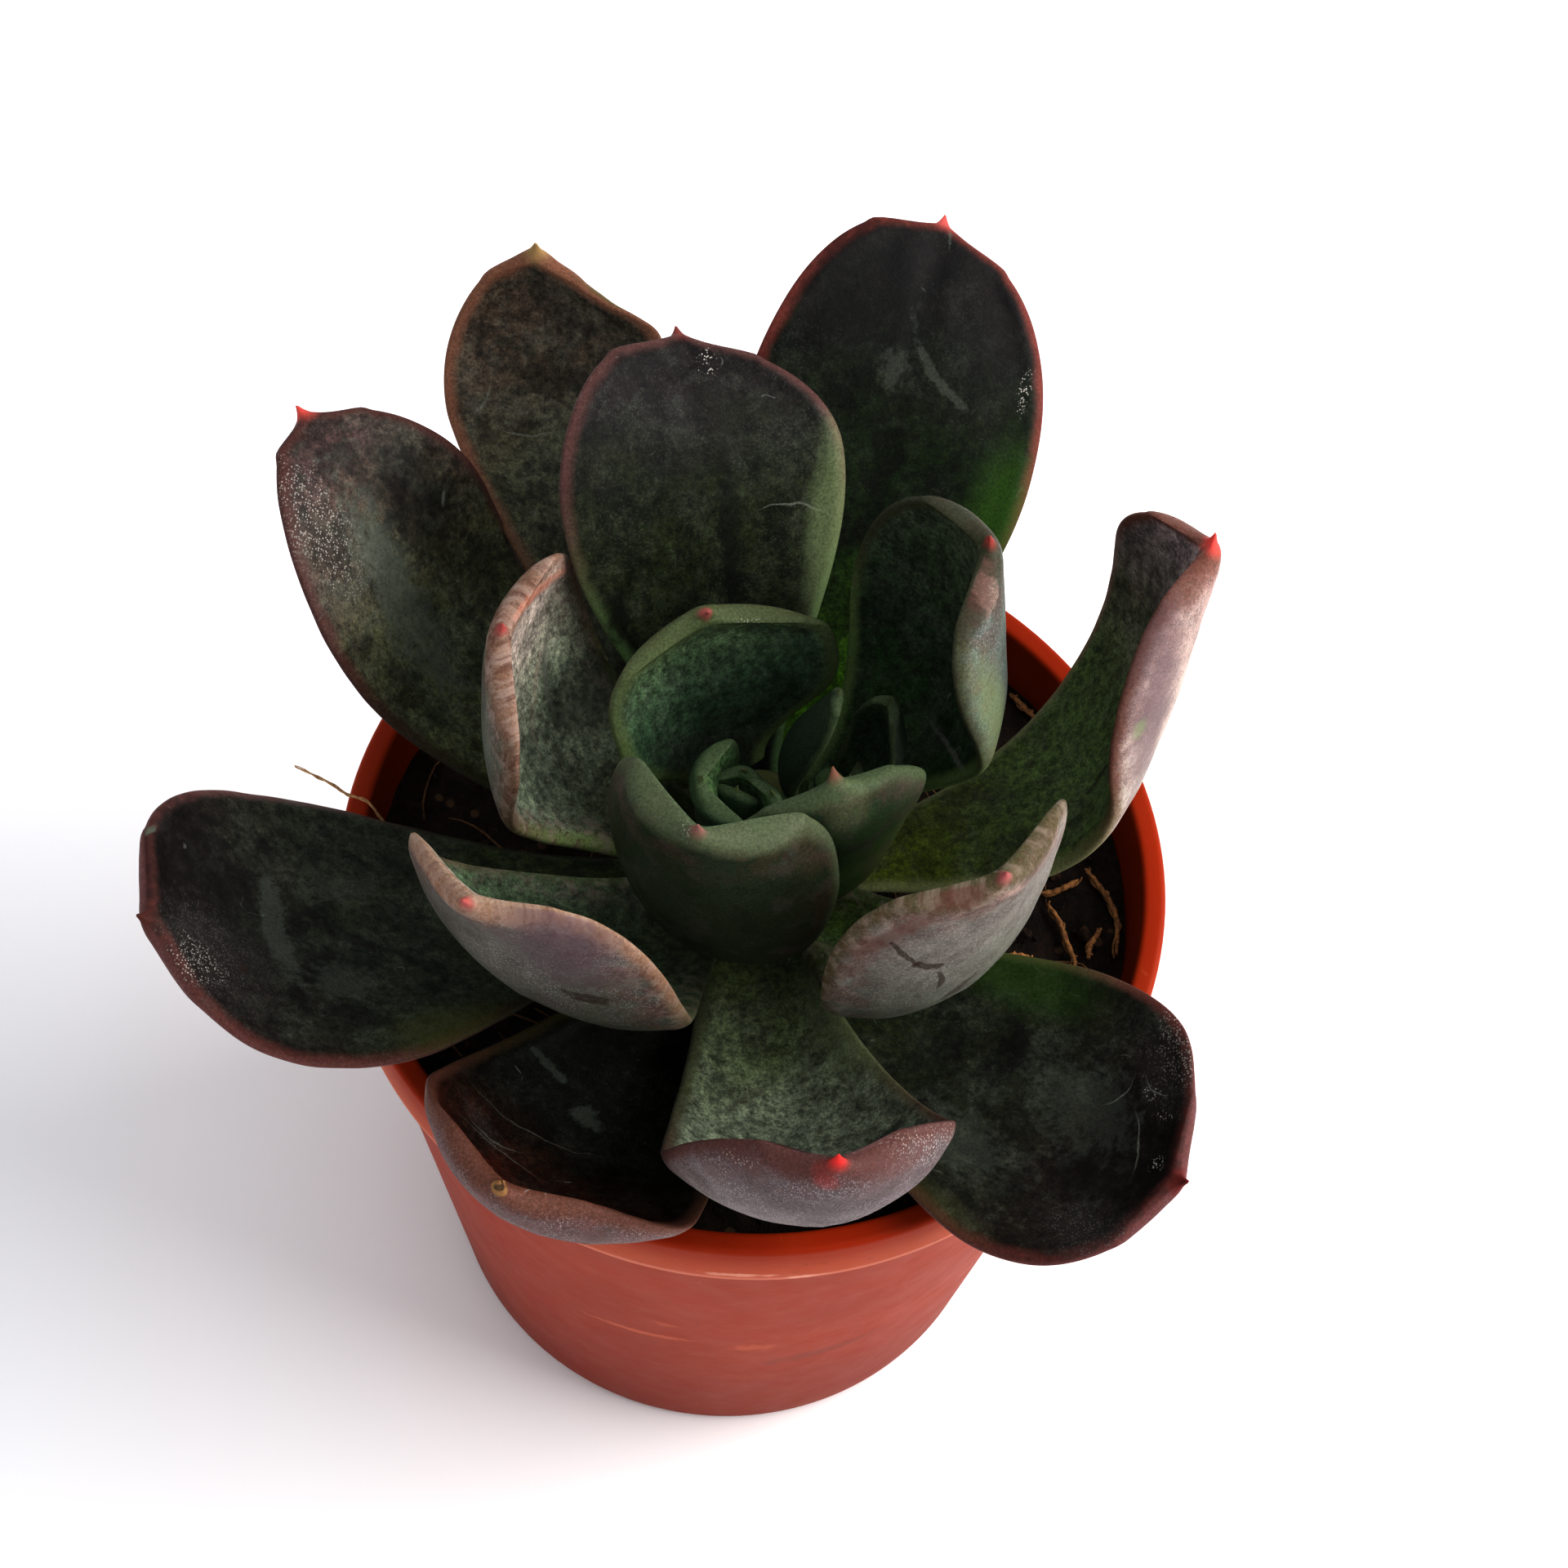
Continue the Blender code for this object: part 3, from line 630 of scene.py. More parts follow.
@dataclass(frozen=True)
class LeafSkin:
    """A leaf's finish: colours at foot, middle and end of both sides, its margins, point, wax and specks."""

    upper: tuple[Colour, Colour, Colour] = ((60, 84, 58), (74, 88, 78), (78, 66, 68))
    lower: tuple[Colour, Colour, Colour] = ((120, 140, 104), (150, 144, 150), (158, 142, 148))
    margin: tuple[Colour, Colour] = ((128, 128, 84), (142, 70, 58))
    margin_width: float = 1.5
    margin_strength: float = 0.85
    point: Colour = (196, 40, 36)
    point_length: float = 2.6
    bloom: float = 0.3
    bloom_colour: Colour = (84, 90, 80)
    shade: float = 0.5
    rubbed_colour: Colour = (92, 82, 78)
    speckle: float = 0.35
    lower_speckle: float = 0.5
    scratches: float = 0.25
    lower_scratches: float = 0.2
    stain: float = 0.35
    crust: float = 0.0
    roughness: float = 0.52

    def material(self, name: str, length: float, seed: float, marks: tuple[Mark, ...]) -> bpy.types.Material:
        """Builds the leaf's material.

        Args:
            name: the leaf's name.
            length: the leaf's length along its midline.
            seed: a number that tells this leaf's clouds and specks from another's.
            marks: the marks that lie on it.

        Returns:
            The material.
        """
        nodes = MaterialNodes(name + "_skin")
        place = nodes.millimetres(seed * 13.0)
        blade = nodes.add("Attribute", attribute_name="blade").outputs["Vector"]
        face = nodes.add("Attribute", attribute_name="face").outputs["Fac"]
        parts = nodes.add("SeparateXYZ", {0: blade})
        rim = parts.outputs["Z"]
        share = nodes.math("DIVIDE", parts.outputs["X"], length)
        is_upper = nodes.smooth(face, -0.35, 0.35)
        is_lower = nodes.minus(1.0, is_upper)
        drift = nodes.times(nodes.minus(nodes.noise(place, 0.12, 1.0), 0.5), 0.23)
        swayed = nodes.plus(share, drift, clamp=True)
        upper = nodes.ramp(swayed, self.upper, (0.08, 0.5, 0.92))
        lower = nodes.ramp(swayed, self.lower, (0.05, 0.45, 0.9))
        grit = nodes.smooth(nodes.noise(place, 3.6, 1.0, 0.75), 0.15, 0.85)
        upper = self.clouded(nodes, place, blade, grit, upper)
        lower = self.powdered(nodes, place, rim, grit, lower)
        colour = nodes.mix(is_upper, lower, upper)
        band = MarginBand.place(nodes, place=place, rim=rim, width=self.margin_width, ragged=0.35)
        edge = nodes.vary(grit, 0.72, 1.25, nodes.ramp(share, self.margin, (0.3, 0.72)))
        colour = nodes.mix(nodes.times(band, self.margin_strength), colour, edge)
        if self.crust:
            colour = self.crusted(nodes, blade, rim, colour)
        to_point = nodes.vector("SUBTRACT", blade, (length, 0.0, 0.0))
        to_point = nodes.vector("MULTIPLY", to_point, (1.0, 1.0, 0.0))
        far = nodes.add("VectorMath", {0: to_point}, operation="LENGTH").outputs["Value"]
        spike = nodes.smooth(far, self.point_length * 1.1, self.point_length * 0.35)
        colour = nodes.mix(spike, colour, linear(self.point))
        grain = Grain.place(nodes, place=place, size=0.34, pits=0.5)
        roughness = nodes.spread(nodes.noise(place, 0.5), self.roughness - 0.1, self.roughness + 0.12)
        fray, sway = nodes.unevenness(nodes.vector("ADD", blade, (seed * 9.0, seed * 5.0, 0.0)))
        skin = SkinSockets(place, blade, face, fray, sway, grit, colour, roughness)
        for mark in marks:
            mark.paint(nodes, skin)
        self.scratched(nodes, skin, is_upper, is_lower)
        return nodes.surface(skin.colour, skin.roughness, grain, 0.035, gloss=0.18)

    def clouded(self, nodes: Nodes, place: object, blade: object, grit: object, colour: object) -> Socket:
        """The upper side's colour with pale wax, dark clouds, streaks along the blade, grit and specks."""
        wax = WaxBloom.islands(nodes, place, 0.16, 0.42, 0.12)
        colour = nodes.tint(wax, self.bloom, colour, self.bloom_colour)
        flakes = WaxBloom.islands(nodes, place, 0.42, 0.36, 0.03, shift=(5.0, 70.0, 12.0))
        colour = nodes.tint(flakes, self.bloom * 0.8, colour, self.bloom_colour)
        dark = WaxBloom.islands(nodes, place, 0.24, 0.42, 0.07, shift=(40.0, 9.0, 3.0))
        colour = nodes.vary(dark, 1.0, 1.0 - self.shade, colour)
        fibres = nodes.noise(nodes.vector("MULTIPLY", blade, (0.13, 0.75, 0.0)), 1.0, 3.0, 0.62)
        colour = nodes.vary(fibres, 0.52, 1.53, colour)
        mottle = nodes.smooth(nodes.noise(place, 1.1, 3.0, 0.78), 0.28, 0.72)
        colour = nodes.vary(mottle, 0.5, 1.6, colour)
        colour = nodes.vary(grit, 0.62, 1.4, colour)
        dots = FineSpeckle.place(nodes, place=place, size=DOT_SIZE, share=0.4)
        dots = nodes.times(dots, nodes.spread(wax, 0.35, 1.0))
        return nodes.tint(dots, self.speckle * 0.4, colour, SPECK_COLOUR)

    def powdered(self, nodes: Nodes, place: object, rim: object, grit: object, colour: object) -> Socket:
        """The lower side's colour under a powder of pale wax, with rubbed places and stains near the edge."""
        colour = nodes.vary(nodes.noise(place, 0.35, 4.0, 0.76), 0.58, 1.42, colour)
        rubbed = WaxBloom.islands(nodes, place, 0.3, 0.4, 0.08, shift=(3.0, 50.0, 21.0))
        colour = nodes.tint(rubbed, 0.4, colour, self.rubbed_colour)
        stained = WaxBloom.islands(nodes, place, 0.38, 0.56, 0.07, shift=(17.0, 2.0, 8.0))
        stained = nodes.times(stained, nodes.smooth(rim, 7.0, 1.0))
        colour = nodes.tint(stained, self.stain, colour, STAIN_COLOUR)
        colour = nodes.vary(grit, 0.72, 1.25, colour)
        gaps = FineSpeckle.place(nodes, place=place, size=DOT_SIZE, share=0.5)
        colour = nodes.tint(gaps, self.lower_speckle * 0.4, colour, GAP_COLOUR)
        moved = nodes.vector("ADD", place, (7.0, 3.0, 1.0))
        grains = FineSpeckle.place(nodes, place=moved, size=POWDER_SIZE, share=0.5)
        thick = nodes.smooth(nodes.noise(place, 0.22, 2.0, 0.6), 0.26, 0.64)
        return nodes.tint(nodes.times(grains, thick), self.lower_speckle * 0.6, colour, POWDER_COLOUR)

    def crusted(self, nodes: Nodes, blade: object, rim: object, colour: object) -> Socket:
        """Pale flakes and brown cracks near the edges."""
        near = nodes.smooth(rim, self.margin_width * 2.4, self.margin_width * 0.6)
        near = nodes.times(near, self.crust)
        flakes = WaxBloom.islands(nodes, blade, 0.62, 0.46, 0.08)
        colour = nodes.tint(flakes, near, colour, FLAKE_COLOUR)
        cracks = WaxBloom.islands(nodes, blade, 1.0, 0.34, 0.05, shift=(9.0, 4.0, 2.0))
        return nodes.tint(cracks, near, colour, CRACK_COLOUR)

    def scratched(self, nodes: Nodes, skin: SkinSockets, is_upper: object, is_lower: object) -> None:
        """Adds fine scratches to both sides."""
        lines = HairScratches.place(nodes, place=skin.place, scale=0.11, thin=0.006, cover=0.45)
        lines = nodes.times(lines, is_upper)
        skin.colour = nodes.tint(lines, self.scratches, skin.colour, PALE_SCRATCH_COLOUR)
        moved = nodes.vector("ADD", skin.place, (90.0, 0.0, 0.0))
        other = HairScratches.place(nodes, place=moved, scale=0.2, thin=0.012, cover=0.4)
        other = nodes.times(other, is_lower)
        skin.colour = nodes.tint(other, self.lower_scratches, skin.colour, DARK_SCRATCH_COLOUR)


@dataclass(frozen=True)
class Leaf:
    """One leaf: where it leaves the stem, how its midline runs, how its blade spreads and how it looks.

    slope is the midline's, at the places along it in SLOPE_AT. turn is how far the heading has swung at
    the point, roll and cup are given at the foot and at the point, and swing moves the foot round the
    stem from the heading. widest is the place of the widest section, neck the foot's share of the width,
    and end says how square the blade is past the widest place, 2 for an ellipse. The foot stands off
    middle by foot. bead, groove and keel are the relief at the edge, along the upper side's midline and
    on the lower side.
    """

    name: str
    heading: float
    height: float
    length: float
    width: float
    slope: tuple[float, ...]
    turn: float = 0.0
    roll: tuple[float, float] = (0.0, 0.0)
    cup: tuple[float, float] = (20.0, 20.0)
    widest: float = 0.66
    neck: float = 0.26
    end: float = 2.3
    swing: float = 0.0
    thickness: float = 2.8
    middle: tuple[float, float] = (0.0, 0.0)
    foot: float = 5.7
    seed: float = 1.0
    point_reach: float = 2.2
    point_width: float = 1.7
    bead: float = 0.22
    groove: float = 0.25
    keel: float = 0.35
    sides: int = 96
    rings: int = 112
    skin: LeafSkin = LeafSkin()
    marks: tuple[Mark, ...] = ()

    SLOPE_AT = (0.0, 0.35, 0.72, 1.0)
    SPINE_STEPS = 240
    OUTLINE_STEPS = 500
    OUTLINE_BATCH = 50
    NECK_GROWTH = 1.7
    POINT_OUTLINE = (0.06, 0.3, 0.55)
    EVEN_RINGS = 0.4
    ROUND_FOOT = 0.02
    THINNING = 0.25
    SLOW_WAVES = (0.28, 24)
    QUICK_WAVES = (0.1, 7)
    BEAD_FROM_RIM = 1.3
    BEAD_WIDTH = 0.9
    GROOVE_WIDTH = 1.3
    TINY = 0.000001

    def frames(self, places: np.ndarray) -> tuple[np.ndarray, np.ndarray, np.ndarray]:
        """The midline and the directions of the blade.

        Args:
            places: places along the leaf from 0 to 1.

        Returns:
            The midline's points, and the blade's sideways and upward directions there.
        """
        steps = np.linspace(0, 1, self.SPINE_STEPS + 1)
        slope = np.radians(smooth_curve(self.SLOPE_AT, self.slope, steps))
        heading = np.radians(self.heading + self.turn * steps**2)
        flat = np.cos(slope)
        along = np.stack([flat * np.cos(heading), flat * np.sin(heading), np.sin(slope)], -1)
        left = np.stack([-np.sin(heading), np.cos(heading), np.zeros_like(heading)], -1)
        run = np.zeros_like(along)
        run[1:] = np.cumsum((along[1:] + along[:-1]) / 2, axis=0) * self.length / self.SPINE_STEPS
        foot_angle = math.radians(self.heading + self.swing)
        run[:, 0] += self.middle[0] + self.foot * math.cos(foot_angle)
        run[:, 1] += self.middle[1] + self.foot * math.sin(foot_angle)
        run[:, 2] += self.height
        run, left, along = (np.stack([np.interp(places, steps, track[:, axis]) for axis in range(3)], -1)
                            for track in (run, left, along))
        left /= np.linalg.norm(left, axis=1)[:, None]
        up = np.cross(along / np.linalg.norm(along, axis=1)[:, None], left)
        roll = np.radians(self.roll[0] + (self.roll[1] - self.roll[0]) * places)[:, None]
        return run, left * np.cos(roll) + up * np.sin(roll), up * np.cos(roll) - left * np.sin(roll)

    def half_width(self, places: np.ndarray) -> np.ndarray:
        """Half the blade's width: it grows from the neck, rounds off past the middle and ends in a point."""
        to_tip = (1 - places) * self.length
        shoulder = 1 - 0.7 * self.point_reach / self.length
        growth = np.sin(np.pi / 2 * np.clip(places / self.widest, 0, 1)) ** self.NECK_GROWTH
        grown = self.neck + (1 - self.neck) * growth
        past = np.clip((places - self.widest) / (shoulder - self.widest), 0, 1)
        rounded = (1 - past**self.end) ** (1 / self.end)
        half = np.where(places < self.widest, grown, rounded) * self.width / 2
        ease = np.clip((to_tip / self.point_reach - 0.5) / 1.2, 0, 1)
        half *= np.where(places > self.widest, ease**2 * (3 - 2 * ease), 1)
        near = np.minimum(to_tip / self.point_reach, 0.75)
        fade = np.clip(2 - to_tip / self.point_reach, 0, 1)
        end, slope, swell = self.POINT_OUTLINE
        return half + self.point_width * (end + slope * near + swell * near**2) * fade

    def rim_distance(self, along: np.ndarray, across: np.ndarray) -> np.ndarray:
        """How far places on the blade are from its outline, in millimetres."""
        places = np.linspace(0, 1, self.OUTLINE_STEPS)
        outline = np.stack([places * self.length, self.half_width(places)], -1)
        spots = np.stack([along, np.abs(across)], -1)
        nearest = np.full(len(spots), np.inf)
        for start in range(0, len(outline), self.OUTLINE_BATCH):
            gap = spots[:, None, :] - outline[None, start:start + self.OUTLINE_BATCH, :]
            nearest = np.minimum(nearest, np.sqrt((gap**2).sum(-1)).min(1))
        return nearest

    def build(self) -> bpy.types.Object:
        """Shapes the leaf from a ball whose poles are the leaf's foot and its point.

        Returns:
            The leaf's object, with the values that its material reads.
        """
        deselect_all()
        bpy.ops.mesh.primitive_uv_sphere_add(segments=self.sides, ring_count=self.rings, radius=1.0)
        blade = bpy.context.object
        ball = vertex_places(blade.data)
        ring = 1 - np.arccos(np.clip(ball[:, 2], -1, 1)) / np.pi
        places = (1 - self.EVEN_RINGS) * np.sin(np.pi / 2 * ring) + self.EVEN_RINGS * ring
        angles = np.arctan2(ball[:, 1], ball[:, 0])
        middle, left, up = self.frames(places)
        closing = np.clip(places / self.ROUND_FOOT, 0, 1) ** 0.5
        half = self.half_width(places) * closing
        to_point = (1 - places) * self.length
        thick = np.minimum(self.thickness / 2 * (1 - self.THINNING * places), 0.5 * to_point + 0.02)
        thick = np.minimum(thick * closing, 0.8 * half)
        across = np.sign(np.cos(angles)) * np.abs(np.cos(angles)) ** 0.85 * half
        face = np.sign(np.sin(angles)) * np.abs(np.sin(angles)) ** 0.8
        along = places * self.length
        rim = self.rim_distance(along, across)
        lift = face * thick + self.relief(along, across, face, rim, half)
        cup = np.radians(self.cup[0] + (self.cup[1] - self.cup[0]) * places)
        bend = cup / np.maximum(half, self.TINY)
        bend = np.where(np.abs(bend) < self.TINY, self.TINY, bend)
        lean = bend * np.abs(across)
        sideways = np.sign(across) * (np.sin(lean) / bend - np.sin(lean) * lift)
        upward = (1 - np.cos(lean)) / bend + np.cos(lean) * lift
        move_vertices(blade.data, (middle + left * sideways[:, None] + up * upward[:, None]) * MM)
        keep_values(blade.data, "blade", np.stack([along, across, rim], -1))
        keep_values(blade.data, "face", face)
        bpy.ops.object.shade_smooth()
        return blade

    def relief(self, along: np.ndarray, across: np.ndarray, face: np.ndarray, rim: np.ndarray,
               half: np.ndarray) -> np.ndarray:
        """How far the leaf's skin stands off its plain section, in millimetres.

        Args:
            along: distances from the foot.
            across: distances from the midline.
            face: 1 on the upper side, -1 on the lower one, and between at the edges.
            rim: distances from the outline.
            half: the half width at each place.

        Returns:
            The offset towards the upper side.
        """
        open_blade = np.clip(half / 4 - 0.5, 0, 1) * np.clip((self.length - along) / 6, 0, 1)
        foot_calm = np.clip(along / 12, 0, 1)
        (slow, long), (quick, short) = self.SLOW_WAVES, self.QUICK_WAVES
        wave = slow * soft_waves(across, along, long, self.seed)
        wave = wave + quick * soft_waves(across, along, short, self.seed + 3)
        offset = wave * open_blade * foot_calm
        bead = self.bead * np.exp(-((rim - self.BEAD_FROM_RIM) / self.BEAD_WIDTH) ** 2) * open_blade
        offset += np.where(face > 0, bead, -0.5 * bead)
        inner = np.clip(1 - np.abs(across) / np.maximum(half, 0.5), 0, 1)
        groove = self.groove * np.exp(-(across / self.GROOVE_WIDTH) ** 2)
        offset -= np.where(face > 0, groove * open_blade * np.abs(face), 0)
        offset -= np.where(face < 0, self.keel * inner**2 * foot_calm * np.abs(face) * open_blade, 0)
        for mark in self.marks:
            if mark.look.value.height:
                offset += mark.side.value * mark.rise(along, across, face)
        return offset

    def dress_up(self, finish: Finish, *nodes: str) -> None:
        """Builds the leaf, gives it its skin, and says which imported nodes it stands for."""
        material = self.skin.material(self.name, self.length, self.seed, self.marks)
        dress(self.build(), self.name + "_blade", finish, material, *nodes)


def smooth_curve(places: object, values: object, at: np.ndarray) -> np.ndarray:
    """A curve with no kinks through some values.

    Args:
        places: where the values are.
        values: a number or a row for each place.
        at: the places to read.

    Returns:
        The curve's value at each place read.
    """
    places = np.array(places, float)
    values = np.array(values, float)
    rise = np.gradient(values, places, axis=0)
    piece = np.clip(np.searchsorted(places, at, side="right") - 1, 0, len(places) - 2)
    span = places[piece + 1] - places[piece]
    t = np.clip((at - places[piece]) / span, 0, 1)
    if values.ndim > 1:
        span = span[:, None]
        t = t[:, None]
    start = (2 * t**3 - 3 * t**2 + 1) * values[piece] + (t**3 - 2 * t**2 + t) * span * rise[piece]
    finish = (3 * t**2 - 2 * t**3) * values[piece + 1] + (t**3 - t**2) * span * rise[piece + 1]
    return start + finish


def streak(look: Look, start: tuple[float, float], finish: tuple[float, float], width: float,
           side: Side = Side.UPPER, bow: float = 0.0, strength: float = 1.0) -> Mark:
    """A long mark from one place on a leaf to another.

    Args:
        look: the kind of mark.
        start: distance from the foot and from the midline of its one end.
        finish: the same of its other end.
        width: half its width.
        side: the side of the leaf that it lies on.
        bow: how far its ends are bent aside.
        strength: how clearly it shows, 1 for the usual.

    Returns:
        The mark.
    """
    run = (finish[0] - start[0], finish[1] - start[1])
    return Mark(look, (start[0] + finish[0]) / 2, (start[1] + finish[1]) / 2, math.hypot(*run) / 2, width,
                math.degrees(math.atan2(run[1], run[0])), side, bow, strength)


